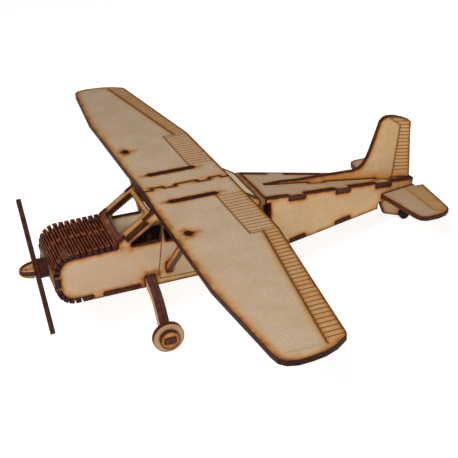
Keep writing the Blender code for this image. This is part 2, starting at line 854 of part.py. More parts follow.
def gear_outline():
    """Outline (x, z) of one layer of the main gear plate."""
    outer = [
        (SIDE_OUTER, GEAR_SLOT_TOP - GAP),
        (29.4, -52.2),
        (34.9, -55.3),
        (39.5, -58.8),
        (43.6, -63.2),
        (46.9, -67.4),
        (49.6, -71.4),
        (WHEEL_INNER_X - GAP, AXLE_Z + AXLE_TAB_HALF),
        (AXLE_TAB_END, AXLE_Z + AXLE_TAB_HALF),
        (AXLE_TAB_END, AXLE_Z - AXLE_TAB_HALF),
        (WHEEL_INNER_X - GAP, AXLE_Z - AXLE_TAB_HALF),
        (WHEEL_INNER_X - GAP, -80.4),
        (49.4, -81.4),
        (46.2, -79.6),
        (43.2, -75.0),
        (40.4, -70.4),
        (37.4, -66.0),
        (34.0, -61.8),
        (29.0, -59.2),
        (SIDE_OUTER, -57.6),
        (SIDE_INNER, -57.2),
        (SIDE_INNER, CABIN_FLOOR + SHEET + GAP),
    ]
    right_to_left = list(reversed(outer))
    return right_to_left + [(-u, v) for u, v in outer]


def build_gear(builder):
    """Struts, main gear layers, wheels and hub caps."""
    for side, name in ((1, "strut_left"), (-1, "strut_right")):
        builder.plate(name, strut_outline(side), upright_across(STRUT_PLANE - SHEET / 2))
    outline = gear_outline()
    builder.plate("gear_plate_front", outline, upright_across(GEAR_Y - SHEET - GAP / 2), CHARRED)
    builder.plate("gear_plate_rear", outline, upright_across(GEAR_Y + GAP / 2), CHARRED)
    axle = (GEAR_Y, AXLE_Z)
    wheel = circle(axle, WHEEL_RADIUS, 64)
    bore = circle(axle, WHEEL_BORE, 32)
    cap = circle(axle, CAP_RADIUS, 48)
    tab_y = SHEET + GAP * 1.5
    tab_z = AXLE_TAB_HALF + GAP
    slot = box(GEAR_Y - tab_y, GEAR_Y + tab_y, AXLE_Z - tab_z, AXLE_Z + tab_z)
    wheel_x = WHEEL_INNER_X + SHEET / 2
    cap_x = wheel_x + SHEET + GAP
    for side, label in ((1, "left"), (-1, "right")):
        pivot = (side * wheel_x, *axle)
        builder.plate("wheel_" + label, wheel, upright_along(side * wheel_x), holes=(bore,), pivot=pivot)
        builder.plate("hub_cap_" + label, cap, upright_along(side * cap_x), holes=(slot,))


def spinner_half(y, base):
    """Half-height of the ogive spinner at a station."""
    along = (base - y) / SPINNER_LENGTH
    return SPINNER_HALF * math.sqrt(max(0.0, 1.0 - along ** 1.6))


def build_propeller(builder):
    """Propeller, hub discs, crossed spinner plates, shaft tab and retainer."""
    nose_front = NOSE_CENTRE_Y - NOSE_RADIUS - SHEET
    pivot = (0.0, nose_front, SHAFT_Z)
    disc_y = nose_front - GAP - HUB_DISC
    second_y = disc_y - HUB_GAP - HUB_DISC
    prop_y = second_y - HUB_GAP - SHEET
    base = prop_y - HUB_GAP
    square = SHAFT_HALF + GAP
    hole = box(-square, square, SHAFT_Z - square, SHAFT_Z + square)
    disc = circle((0.0, SHAFT_Z), HUB_RADIUS, 40)
    for y, name in ((disc_y, "hub_disc_rear"), (second_y, "hub_disc_front")):
        place = Matrix.Translation((0.0, (HUB_DISC - SHEET) / 2, 0.0)) @ upright_across(y)
        builder.plate(name, disc, place, CHARRED, holes=(hole,), thickness=HUB_DISC, pivot=pivot)
    half_width = PROP_WIDTH / 2
    reach = math.sqrt(PROP_BOSS_RADIUS ** 2 - half_width ** 2)
    boss = math.degrees(math.atan2(half_width, reach))
    blade = [(-half_width, reach), (-half_width, PROP_LONG_ARM), (half_width, PROP_LONG_ARM)]
    blade += [(u, v) for u, v in arc((0.0, 0.0), PROP_BOSS_RADIUS, 90.0 - boss, -90.0 + boss, 10)]
    blade += [(half_width, -PROP_SHORT_ARM), (-half_width, -PROP_SHORT_ARM)]
    blade += [(u, v) for u, v in arc((0.0, 0.0), PROP_BOSS_RADIUS, -90.0 - boss, -270.0 + boss, 10)][:-1]
    turned = []
    for u, v in blade:
        cosine = math.cos(PROP_ANGLE)
        sine = math.sin(PROP_ANGLE)
        turned.append((u * cosine - v * sine, SHAFT_Z + u * sine + v * cosine))
    builder.plate("propeller", turned, upright_across(prop_y), CHARRED, holes=(hole,), pivot=pivot)
    tip = base - SPINNER_LENGTH
    notch = SHEET / 2 + GAP
    middle = base - SPINNER_LENGTH / 2
    stations = [base - SPINNER_LENGTH * index / SPINNER_STEPS for index in range(SPINNER_STEPS + 1)]
    upright = []
    for y in stations:
        if spinner_half(y, base) > notch + 0.25:
            upright.append((y, spinner_half(y, base)))
    last = upright[-1][0]
    upright += [(last, notch), (middle + 0.15, notch)]
    lower = [(y, -v) for y, v in reversed(upright)]
    shaft_end = NOSE_CENTRE_Y - NOSE_RADIUS + GAP + SHEET
    shaft = [(base, -SHAFT_HALF), (shaft_end, -SHAFT_HALF), (shaft_end, SHAFT_HALF), (base, SHAFT_HALF)]
    upright_outline = [(y, SHAFT_Z + v) for y, v in upright + lower + shaft]
    builder.plate("spinner_upright", upright_outline, upright_along(0.0), pivot=pivot)
    right = [(spinner_half(y, base), y) for y in stations]
    left = [(-u, v) for u, v in reversed(right[:-1])]
    cleft = [(-notch, base), (-notch, middle - 0.15), (notch, middle - 0.15), (notch, base)]
    flat = right + left + cleft
    builder.plate("spinner_flat", flat, lying(SHAFT_Z - SHEET / 2), pivot=pivot)
    keeper_y = NOSE_CENTRE_Y - NOSE_RADIUS + GAP
    keeper = circle((0.0, SHAFT_Z), HUB_RADIUS, 40)
    builder.plate("prop_retainer", keeper, upright_across(keeper_y), holes=(hole,), pivot=pivot)


def main():
    """Build the whole model."""
    clear_scene()
    parts = make_collection(MODEL_NAME)
    make_collection("cutters")
    builder = Builder(parts)
    build_wings(builder)
    build_cabin(builder)
    build_bulkhead(builder)
    build_cowl(builder)
    build_tail_cone(builder)
    build_tail(builder)
    build_gear(builder)
    build_propeller(builder)


main()
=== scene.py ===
"""Looks of a flat-pack wooden model of a high-wing light aircraft.

Every piece is medium density fibreboard, cut and engraved by a laser. The pale
face browns towards each cut, the cut edges are charred, and engraved lines are
burnt into the face. Each flat solid is read back from the frame, and a skin
with the same outline takes its place. The skin's points carry what the
finishes read: how far the nearest cut and the nearest engraved line are, and
how much smoke, painted shade and toasting the face has there.
"""

import logging
import math
from dataclasses import dataclass, field, replace
from enum import Enum

import bmesh
import bpy
import numpy as np
from bpy.types import GeometryNodeTree, Material, Mesh, Node, NodeSocket, NodeTree, Object
from mathutils import Matrix, Vector
from mathutils.geometry import delaunay_2d_cdt


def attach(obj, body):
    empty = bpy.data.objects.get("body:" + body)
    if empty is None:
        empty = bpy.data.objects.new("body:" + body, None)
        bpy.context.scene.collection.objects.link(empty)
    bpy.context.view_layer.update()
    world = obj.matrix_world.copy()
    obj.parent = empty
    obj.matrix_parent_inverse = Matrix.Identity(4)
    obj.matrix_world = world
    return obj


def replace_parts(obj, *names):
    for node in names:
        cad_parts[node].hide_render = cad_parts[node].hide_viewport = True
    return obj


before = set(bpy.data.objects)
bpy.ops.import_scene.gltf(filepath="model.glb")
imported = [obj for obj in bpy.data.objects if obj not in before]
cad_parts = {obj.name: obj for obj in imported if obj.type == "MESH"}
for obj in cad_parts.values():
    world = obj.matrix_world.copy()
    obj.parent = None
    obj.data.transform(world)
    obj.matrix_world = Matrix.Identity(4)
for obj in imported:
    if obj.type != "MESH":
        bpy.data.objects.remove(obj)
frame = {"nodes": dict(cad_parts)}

LOG = logging.getLogger("aircraft_model")
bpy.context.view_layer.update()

MM = 0.001
WELD_MM = 0.001
TINY = 1e-9
NO_LENGTH = 1e-12
SHARP_ANGLE = math.radians(28.0)
RELIEF = 0.2 * MM

# building frame: wing top at z = 0, root leading edge at y = 0, in millimetres
PARK_PITCH_DEG = 7.33964
PARK_SHIFT = (0.0, -56.465, 85.988)
PITCH = Matrix.Rotation(math.radians(-PARK_PITCH_DEG), 4, "X")
PARK = Matrix.Scale(MM, 4) @ Matrix.Translation(Vector(PARK_SHIFT)) @ PITCH
UNPARK = PARK.inverted()
# edges above this height sit in the wing's slots and get painted shade
UNDER_WING = -0.5

# least dot products of directions that count as the same and as mostly sideways
SAME_WAY = 0.99
SIDEWAYS = 0.7
WIDEST_LENGTH = 1.5

# reach that a point has where no engraved line is near
NO_LINE = 2.0

NOISE = "ShaderNodeTexNoise"
REMAP = "ShaderNodeMapRange"
MATH = "ShaderNodeMath"
MIX = "ShaderNodeMix"
COLOUR_MIX = {"data_type": "RGBA"}
DARKEN_MIX = {"data_type": "RGBA", "blend_type": "DARKEN"}
VECTOR_MIX = {"data_type": "VECTOR"}
TIMES = {"operation": "MULTIPLY"}
CLAMPED_TIMES = {"operation": "MULTIPLY", "use_clamp": True}
CLAMPED_SHARE = {"operation": "DIVIDE", "use_clamp": True}


class Body(Enum):
    """Bodies of the frame that pieces ride on."""

    AIRFRAME = "airframe"
    PROPELLER = "propeller_unit"
    LEFT_WHEEL = "left_wheel"
    RIGHT_WHEEL = "right_wheel"
    TAIL_WHEELS = "tail_wheels"


class Slot(Enum):
    """Material slots of the record."""

    PALE = "fibreboard"
    CHARRED = "charred_fibreboard"
    BLACK = "blackened_fibreboard"


class Mark(Enum):
    """What each point of a skin carries for the finishes."""

    EDGE = "edge_mm"
    LINE = "line_reach"
    DEPTH = "line_strength"
    # smoke on the front faces; on the cabin's inner faces it carries painted shade
    SMOKE = "smoke"
    TOAST = "toast"


def linear(colour: str, alpha: float = 1.0) -> tuple[float, float, float, float]:
    """Turn an sRGB hex colour into a linear one.

    Args:
        colour: six hex digits after a hash.
        alpha: opacity to append.

    Returns:
        Linear red, green, blue and alpha.
    """
    channels = []
    for start in (1, 3, 5):
        value = int(colour[start:start + 2], 16) / 255
        channels.append(value / 12.92 if value <= 0.04045 else ((value + 0.055) / 1.055) ** 2.4)
    return (*channels, alpha)


def per_mm(size: float) -> float:
    """Return the texture scale whose patches are a size in millimetres wide."""
    return 1.0 / (size * MM)


def add_node(tree: NodeTree, kind: str, settings: dict | None = None, **links: object) -> Node:
    """Add one node with its settings, values and links.

    Args:
        tree: node tree that takes the node.
        kind: Blender's type name of the node.
        settings: attributes of the node, and under "stops" the (place, hex
            colour, opacity) rows of its ramp.
        **links: input name with underscores for spaces, or i0, i1 for an input's
            number, to a socket, to a node whose live output is meant, to a hex
            colour or to a value.

    Returns:
        The new node.
    """
    node = tree.nodes.new(kind)
    settings = dict(settings or {})
    stops = settings.pop("stops", ())
    for name, value in settings.items():
        setattr(node, name, value)
    while stops and len(node.color_ramp.elements) < len(stops):
        node.color_ramp.elements.new(0.5)
    for index, (place, colour, opacity) in enumerate(stops):
        node.color_ramp.elements[index].position = place
        node.color_ramp.elements[index].color = linear(colour, opacity)
    for name, value in links.items():
        numbered = name[0] == "i" and name[1:].isdigit()
        socket = node.inputs[int(name[1:])] if numbered else node.inputs[name.replace("_", " ")]
        if isinstance(value, Node):
            value = next(output for output in value.outputs if output.enabled)
        if isinstance(value, NodeSocket):
            tree.links.new(value, socket)
        else:
            socket.default_value = linear(value) if isinstance(value, str) else value
    return node


def new_material(name: str, roughness: float, specular: float) -> Material:
    """Make a Principled material with its plain values set.

    Args:
        name: name of the material.
        roughness: roughness of its surface.
        specular: specular level.

    Returns:
        The material.
    """
    material = bpy.data.materials.new(name)
    material.use_nodes = True
    shader = material.node_tree.nodes["Principled BSDF"]
    shader.inputs["Roughness"].default_value = roughness
    shader.inputs["Specular IOR Level"].default_value = specular
    return material


def wire_shader(material: Material, shade: Node, height: Node, strength: float) -> None:
    """Give a material its colour and a fine relief.

    Args:
        material: the material.
        shade: colour mix to link.
        height: texture that the relief follows.
        strength: how strong the relief is, from 0 to 1.
    """
    tree = material.node_tree
    bump = add_node(tree, "ShaderNodeBump", Strength=strength, Distance=RELIEF, Height=height)
    shader = tree.nodes["Principled BSDF"]
    tree.links.new(shade.outputs[2], shader.inputs["Base Color"])
    tree.links.new(bump.outputs[0], shader.inputs["Normal"])


@dataclass(frozen=True)
class PressedFace:
    """Pressed face of medium density fibreboard, browned by the laser.

    The fine felted fibre has no grain direction, so the eye sees a soft tan
    mottle. The beam leaves a thin dark rim, then an orange-brown margin that
    fades over a few millimetres, ragged where the smoke crept under the board.
    Where ends_mm is set, the margins lie at that distance left and right of
    the centre line instead of beside each cut.
    """

    name: str = "fibreboard_pressed_face"
    pale: str = "#B8A28A"
    tan: str = "#B0987E"
    fleck: str = "#927759"
    toasted: str = "#B07C41"
    margin_mm: float = 4.4
    ends_mm: float = 0.0
    roughness: float = 0.66
    specular: float = 0.15
    rim: tuple = (
        (0.0, "#2A1108", 1.0),
        (0.09, "#4A2410", 1.0),
        (0.19, "#814B1C", 0.94),
        (0.38, "#A66C2C", 0.72),
        (0.66, "#BA843F", 0.32),
        (1.0, "#C09A68", 0.0),
    )
    engraved: tuple = (
        (0.0, "#3E2009", 1.0),
        (0.42, "#5E3512", 0.95),
        (0.56, "#8C5A26", 0.55),
        (0.75, "#AE7E42", 0.25),
        (1.0, "#C09A68", 0.0),
    )
    smoke: tuple = (
        (0.0, "#C09050", 0.0),
        (0.35, "#B07A3A", 0.45),
        (0.65, "#8A5220", 0.75),
        (1.0, "#32170A", 0.96),
    )

    def build(self) -> Material:
        """Make the material."""
        material = new_material(self.name, self.roughness, self.specular)
        tree = material.node_tree
        place = add_node(tree, "ShaderNodeTexCoord").outputs["Object"]
        marks = {
            mark: add_node(tree, "ShaderNodeAttribute", {"attribute_name": mark.value}).outputs["Fac"]
            for mark in Mark
        }
        cloud = add_node(tree, NOISE, Vector=place, Scale=per_mm(20.0), Detail=3.0)
        fibre = add_node(tree, NOISE, Vector=place, Scale=per_mm(1.1), Detail=4.0, Roughness=0.65)
        creep = add_node(tree, NOISE, Vector=place, Scale=per_mm(6.0), Detail=4.0, Roughness=0.6)
        ragged = [
            add_node(tree, REMAP, Value=creep, From_Min=0.3, From_Max=0.7, To_Min=least, To_Max=most)
            for least, most in ((0.55, 1.35), (0.72, 1.28), (self.margin_mm * 0.75, self.margin_mm * 1.45))
        ]
        toast = add_node(tree, MATH, CLAMPED_TIMES, i0=marks[Mark.TOAST], i1=ragged[0])
        # the smoke mark also darkens the cabin's inner faces, where it is painted shade
        smoke = add_node(tree, MATH, CLAMPED_TIMES, i0=marks[Mark.SMOKE], i1=ragged[1])
        line = add_node(tree, MATH, CLAMPED_TIMES, i0=marks[Mark.LINE], i1=0.5)
        edge = marks[Mark.EDGE]
        if self.ends_mm > 0.0:
            split = add_node(tree, "ShaderNodeSeparateXYZ", Vector=place)
            middle = add_node(tree, MATH, {"operation": "ABSOLUTE"}, i0=split)
            to_end = {"operation": "MULTIPLY_ADD"}
            edge = add_node(tree, MATH, to_end, i0=middle, i1=-1 / MM, i2=self.ends_mm)
        reach = add_node(tree, MATH, CLAMPED_SHARE, i0=edge, i1=ragged[2])
        spread = add_node(tree, REMAP, Value=cloud, From_Min=0.35, From_Max=0.65)
        sparse = add_node(tree, REMAP, Value=fibre, From_Min=0.4, From_Max=0.8, To_Max=0.62)
        shade = add_node(tree, MIX, COLOUR_MIX, i0=spread, i6=self.pale, i7=self.tan)
        shade = add_node(tree, MIX, COLOUR_MIX, i0=sparse, i6=shade, i7=self.fleck)
        shade = add_node(tree, MIX, COLOUR_MIX, i0=toast, i6=shade, i7=self.toasted)
        # burns only darken what is below them
        burns = ((reach, self.rim, 1.0), (smoke, self.smoke, 1.0), (line, self.engraved, marks[Mark.DEPTH]))
        for amount, stops, strength in burns:
            ramp = add_node(tree, "ShaderNodeValToRGB", {"stops": stops}, Fac=amount)
            cover = add_node(tree, MATH, TIMES, i0=ramp.outputs["Alpha"], i1=strength)
            shade = add_node(tree, MIX, DARKEN_MIX, i0=cover, i6=shade, i7=ramp.outputs["Color"])
        wire_shader(material, shade, fibre, 0.12)
        return material


@dataclass(frozen=True)
class CharredCut:
    """Cut wall that the laser charred.

    The beam leaves a thin brown char with a soft sheen, mottled where it was
    hotter, so the eye sees a dark brown band with lighter and redder patches.
    """

    name: str = "fibreboard_charred_cut"
    dark: str = "#260F07"
    brown: str = "#4A2411"
    glow: str = "#6C3E20"
    roughness: float = 0.55
    specular: float = 0.1

    def build(self) -> Material:
        """Make the material."""
        material = new_material(self.name, self.roughness, self.specular)
        tree = material.node_tree
        place = add_node(tree, "ShaderNodeTexCoord").outputs["Object"]
        patch = add_node(tree, NOISE, Vector=place, Scale=per_mm(3.5), Detail=3.0)
        speck = add_node(tree, NOISE, Vector=place, Scale=per_mm(0.6), Detail=3.0, Roughness=0.6)
        spread = add_node(tree, REMAP, Value=patch, From_Min=0.32, From_Max=0.68)
        warm = add_node(tree, REMAP, Value=speck, From_Min=0.5, From_Max=0.8, To_Max=0.8)
        shade = add_node(tree, MIX, COLOUR_MIX, i0=spread, i6=self.dark, i7=self.brown)
        shade = add_node(tree, MIX, COLOUR_MIX, i0=warm, i6=shade, i7=self.glow)
        wire_shader(material, shade, speck, 0.25)
        return material


@dataclass(frozen=True)
class HingeRail:
    """Face of the narrow rails between the cuts of a living hinge.

    The cuts on both sides brown such a rail right across, with streaks along
    it, and leave lighter orange spots where it bridges on the centre line.
    """

    name: str = "fibreboard_hinge_rail"
    dark: str = "#3C170B"
    brown: str = "#7A4022"
    bridge: str = "#8E562A"
    bridge_mm: float = 1.6
    streak_mm: float = 5.0
    roughness: float = 0.6
    specular: float = 0.12

    def build(self) -> Material:
        """Make the material."""
        material = new_material(self.name, self.roughness, self.specular)
        tree = material.node_tree
        place = add_node(tree, "ShaderNodeTexCoord").outputs["Object"]
        drawn = add_node(tree, "ShaderNodeMapping", Vector=place, Scale=(1.0 / self.streak_mm, 1.0, 1.0))
        streak = add_node(tree, NOISE, Vector=drawn, Scale=per_mm(0.8), Detail=3.0, Roughness=0.6)
        patch = add_node(tree, NOISE, Vector=place, Scale=per_mm(5.0), Detail=2.0)
        both = add_node(tree, MATH, {"operation": "ADD"}, i0=streak, i1=patch)
        spread = add_node(tree, REMAP, Value=both, From_Min=0.75, From_Max=1.25)
        split = add_node(tree, "ShaderNodeSeparateXYZ", Vector=place)
        middle = add_node(tree, MATH, {"operation": "ABSOLUTE"}, i0=split)
        reach = self.bridge_mm * MM
        bridged = {"From_Min": reach * 0.5, "From_Max": reach, "To_Min": 0.4, "To_Max": 0.0}
        near = add_node(tree, REMAP, Value=middle, **bridged)
        spots = add_node(tree, MATH, TIMES, i0=near, i1=spread)
        shade = add_node(tree, MIX, COLOUR_MIX, i0=spread, i6=self.dark, i7=self.brown)
        shade = add_node(tree, MIX, COLOUR_MIX, i0=spots, i6=shade, i7=self.bridge)
        wire_shader(material, shade, streak, 0.2)
        return material


@dataclass(frozen=True)
class StudioPaper:
    """Matt paper on a table that is lit from below, which keeps the shadows faint."""

    name: str = "studio_paper"
    colour: str = "#BCBCBC"
    light: str = "#FFFFFF"
    glow: float = 0.8

    def build(self) -> Material:
        """Make the material."""
        material = new_material(self.name, 0.9, 0.1)
        inputs = material.node_tree.nodes["Principled BSDF"].inputs
        inputs["Base Color"].default_value = linear(self.colour)
        inputs["Emission Color"].default_value = linear(self.light)
        inputs["Emission Strength"].default_value = self.glow
        return material


def finish(kind: type, name: str = "", **values: object) -> Material:
    """Return a dataclass field that builds a kind of finish, with some of its values changed."""
    named = {"name": name, **values} if name else values
    return field(default_factory=lambda: kind(**named).build())


@dataclass
class Palette:
    """The finishes, built once and shared by the sub-assemblies."""

    face: Material = finish(PressedFace)
    cut: Material = finish(CharredCut)
    # floor of a shallow groove: scorched but not charred, so it reads as an ochre line
    groove: Material = finish(
        CharredCut, "fibreboard_engraved_groove", dark="#4A290F", brown="#67401A", glow="#85572A"
    )
    # edge of a narrow leg that smoke greyed: a dull brown with a little purple
    stick: Material = finish(
        CharredCut, "fibreboard_browned_stick", dark="#371C18", brown="#532F28", glow="#69453D"
    )
    # narrow blade charred on every side: an even dark brown
    blade: Material = finish(
        CharredCut, "fibreboard_charred_blade", dark="#240E08", brown="#441F12", glow="#5E3624"
    )
    # wall of a fast cut: orange-brown, where the fibre still shows
    light: Material = finish(
        CharredCut, "fibreboard_lightly_charred_cut", dark="#734525", brown="#905F37", glow="#A87A4A"
    )
    # end of a hinge rail, burnt from three sides: dark with a purple cast
    tooth: Material = finish(
        CharredCut, "fibreboard_charred_tooth", dark="#260F0C", brown="#401B15", glow="#583026"
    )
    # wall of a narrow slot, where the heat stayed: almost black; on the tab tops in the wing's slots it is
    # painted shade
    deep: Material = finish(
        CharredCut, "fibreboard_charred_slot", dark="#1C0603", brown="#34110A", glow="#4A1E10"
    )
    # board blackened all over
    black: Material = finish(
        CharredCut, "fibreboard_blackened", dark="#0C0A09", brown="#1A1512", glow="#2A221D"
    )
    rail: Material = finish(HingeRail)
    # uncut front of the bent plate: olive brown, dark towards its two ends
    nose: Material = finish(
        PressedFace, "fibreboard_nose_face", pale="#836340", tan="#6D4F30", specular=0.05, ends_mm=23.0
    )
    # sheet with a yellower face, whose margins turn to amber
    tail: Material = finish(
        PressedFace,
        "fibreboard_yellow_pressed_face",
        pale="#CBB18E",
        tan="#C1A57C",
        toasted="#CC8F4C",
        rim=(
            (0.0, "#2A1108", 1.0),
            (0.08, "#542A12", 1.0),
            (0.17, "#94591F", 0.94),
            (0.36, "#C07E36", 0.75),
            (0.66, "#CC9046", 0.35),
            (1.0, "#CDA56C", 0.0),
        ),
    )
    # inner face, painted light: paler than the board so the cabin's inside and the top plate read as lit;
    # its smoke ramp runs to black for painted shade
    inner: Material = finish(
        PressedFace,
        "fibreboard_unsmoked_inner_face",
        pale="#F4E0C2",
        tan="#EAD2AE",
        fleck="#CBAA80",
        toasted="#E2C79C",
        margin_mm=2.6,
        smoke=(
            (0.0, "#8A5A2A", 0.0),
            (0.4, "#4A2410", 0.7),
            (0.8, "#120805", 1.0),
            (1.0, "#0A0504", 1.0),
        ),
    )
    # narrow frame that the heat browned right across: golden, red-brown where it is toasted
    frame: Material = finish(
        PressedFace,
        "fibreboard_browned_frame_face",
        pale="#AA804C",
        tan="#98693A",
        toasted="#5E2E1E",
        margin_mm=2.8,
    )
    # small disc cut in one quick pass: only a thin brown margin
    disc: Material = finish(PressedFace, "fibreboard_disc_face", margin_mm=1.3)


class Facing(Enum):
    """Which way a plate's front face looks, in the building frame; a length of 2 means the widest face."""

    LEVEL = (0.0, 0.0, 1.0)
    ACROSS = (0.0, -1.0, 0.0)
    LEFT = (1.0, 0.0, 0.0)
    RIGHT = (-1.0, 0.0, 0.0)
    WIDEST_UP = (0.0, 0.0, 2.0)
    WIDEST_LEFT = (2.0, 0.0, 0.0)
    WIDEST_RIGHT = (-2.0, 0.0, 0.0)


@dataclass(frozen=True)
class Engraving:
    """Line burnt into a face: its core's width and halo's reach in mm, and its strength."""

    points: tuple
    core: float
    halo: float
    strength: float


@dataclass(frozen=True)
class Smear:
    """Dark streak on a face, smoke on front faces and painted shade on the cabin's inner faces: how far it
    reaches from its run in mm, and how strong it is on the run.
    """

    points: tuple
    reach: float
    level: float


@dataclass(frozen=True)
class Toasted:
    """Area of a face that the laser browned all over, and how brown it is."""

    points: tuple
    level: float


@dataclass(frozen=True)
class Dress:
    """What is drawn on one plate, in building-frame points.

    Engravings, smears and areas lie on the front face, and on the back face too
    where both is set. Otherwise the back face has only its back smears, which are
    painted shade on the cabin's inner faces. Toast is how brown both faces are all
    over, from 0 to 1.
    """

    engravings: tuple = ()
    smears: tuple = ()
    areas: tuple = ()
    back_painted_shade: tuple = ()
    toast: float = 0.0
    both: bool = False


@dataclass
class PlateOutline:
    """Outline of one flat solid, read back from the frame, in millimetres."""

    normal: Vector
    across: Vector
    along: Vector
    front: float
    back: float
    loops: list[np.ndarray]

    def flatten(self, point: tuple) -> tuple[float, float]:
        """Return a building-frame point's place on the plate."""
        vector = Vector(point)
        return (vector.dot(self.across), vector.dot(self.along))

    def flat_run(self, points: tuple) -> np.ndarray:
        """Return the segments (x1, y1, x2, y2) of an open run of building-frame points."""
        flat = [self.flatten(point) for point in points]
        return np.array([(*first, *second) for first, second in zip(flat, flat[1:])])

    def lift(self, flat: np.ndarray, height: float) -> Vector:
        """Return the parked place, in metres, of a point on the plate."""
        return PARK @ (self.across * float(flat[0]) + self.along * float(flat[1]) + self.normal * height)


def building_mesh(node: str) -> bmesh.types.BMesh:
    """Copy a solid's mesh into the building frame and merge its doubled corners.

    Args:
        node: name of the solid.

    Returns:
        The merged copy, in millimetres.
    """
    shape = bmesh.new()
    shape.from_mesh(frame["nodes"][node].data)
    bmesh.ops.transform(shape, matrix=UNPARK, verts=shape.verts)
    bmesh.ops.remove_doubles(shape, verts=shape.verts, dist=WELD_MM)
    shape.normal_update()
    return shape


def walk_loops(follow: dict[int, int], places: dict[int, tuple[float, float]]) -> list[np.ndarray]:
    """Join directed edges into closed loops.

    Args:
        follow: each corner's next corner.
        places: each corner's flat place.

    Returns:
        The loops, one array of flat points each.
    """
    loops = []
    while follow:
        current = next(iter(follow))
        points = []
        while current in follow:
            points.append(places[current])
            current = follow.pop(current)
        loops.append(np.array(points))
    return loops


def read_outline(node: str, facing: Facing) -> PlateOutline:
    """Read a flat solid's outline back from the frame.

    Args:
        node: name of the solid.
        facing: which way its front face looks.

    Returns:
        The outline, with the outer loop and the holes in no set order.
    """
    shape = building_mesh(node)
    normal = Vector(facing.value)
    if normal.length > WIDEST_LENGTH:
        widest = max(shape.faces, key=lambda face: face.calc_area()).normal.copy()
        normal = widest if widest.dot(normal) > 0 else -widest
    seed = Vector((0.0, 1.0, 0.0)) if abs(normal.x) > SIDEWAYS else Vector((1.0, 0.0, 0.0))
    across = (seed - normal * seed.dot(normal)).normalized()
    along = normal.cross(across)
    heights = [vertex.co.dot(normal) for vertex in shape.verts]
    level = [face for face in shape.faces if face.normal.dot(normal) > SAME_WAY]
    members = set(level)
    follow: dict[int, int] = {}
    places: dict[int, tuple[float, float]] = {}
    for face in level:
        for loop in face.loops:
            if any(other is not face and other in members for other in loop.edge.link_faces):
                continue
            start = loop.vert
            follow[start.index] = loop.link_loop_next.vert.index
            places[start.index] = (start.co.dot(across), start.co.dot(along))
    loops = walk_loops(follow, places)
    shape.free()
    return PlateOutline(normal, across, along, max(heights), min(heights), loops)


def segments_of(loops: list[np.ndarray]) -> np.ndarray:
    """Return the sides of closed loops as an array of (x1, y1, x2, y2)."""
    return np.vstack([np.hstack((loop, np.roll(loop, -1, axis=0))) for loop in loops])


def nearest(points: np.ndarray, segments: np.ndarray) -> np.ndarray:
    """Return how far each flat point is from the nearest of some segments."""
    start = segments[:, :2]
    run = segments[:, 2:] - start
    length = np.maximum((run ** 2).sum(axis=1), NO_LENGTH)
    offset = points[:, None, :] - start[None, :, :]
    share = np.clip((offset * run[None, :, :]).sum(axis=2) / length, 0.0, 1.0)
    gap = offset - share[:, :, None] * run[None, :, :]
    return np.sqrt((gap ** 2).sum(axis=2)).min(axis=1)


def inside(points: np.ndarray, segments: np.ndarray) -> np.ndarray:
    """Find the points inside closed loops, by the even-odd rule.

    Args:
        points: flat points.
        segments: the loops' sides.

    Returns:
        One truth value per point.
    """
    x, y = points[:, 0][:, None], points[:, 1][:, None]
    x1, y1, x2, y2 = (segments[:, index][None, :] for index in range(4))
    spans = (y1 > y) != (y2 > y)
    rise = np.where(np.abs(y2 - y1) < NO_LENGTH, NO_LENGTH, y2 - y1)
    crossing = x1 + (y - y1) * (x2 - x1) / rise
    return ((spans & (x < crossing)).sum(axis=1) % 2) == 1


def beside(segment: np.ndarray, shares: np.ndarray, offset: float) -> np.ndarray:
    """Lay points beside a segment.

    Args:
        segment: its (x1, y1, x2, y2).
        shares: how far along it each point is, from 0 to 1.
        offset: how far to its left they lie.

    Returns:
        The flat points.
    """
    start, run = segment[:2], segment[2:] - segment[:2]
    normal = np.array([-run[1], run[0]]) / max(math.hypot(*run), TINY)
    return np.outer(1 - shares, start) + np.outer(shares, segment[2:]) + normal * offset


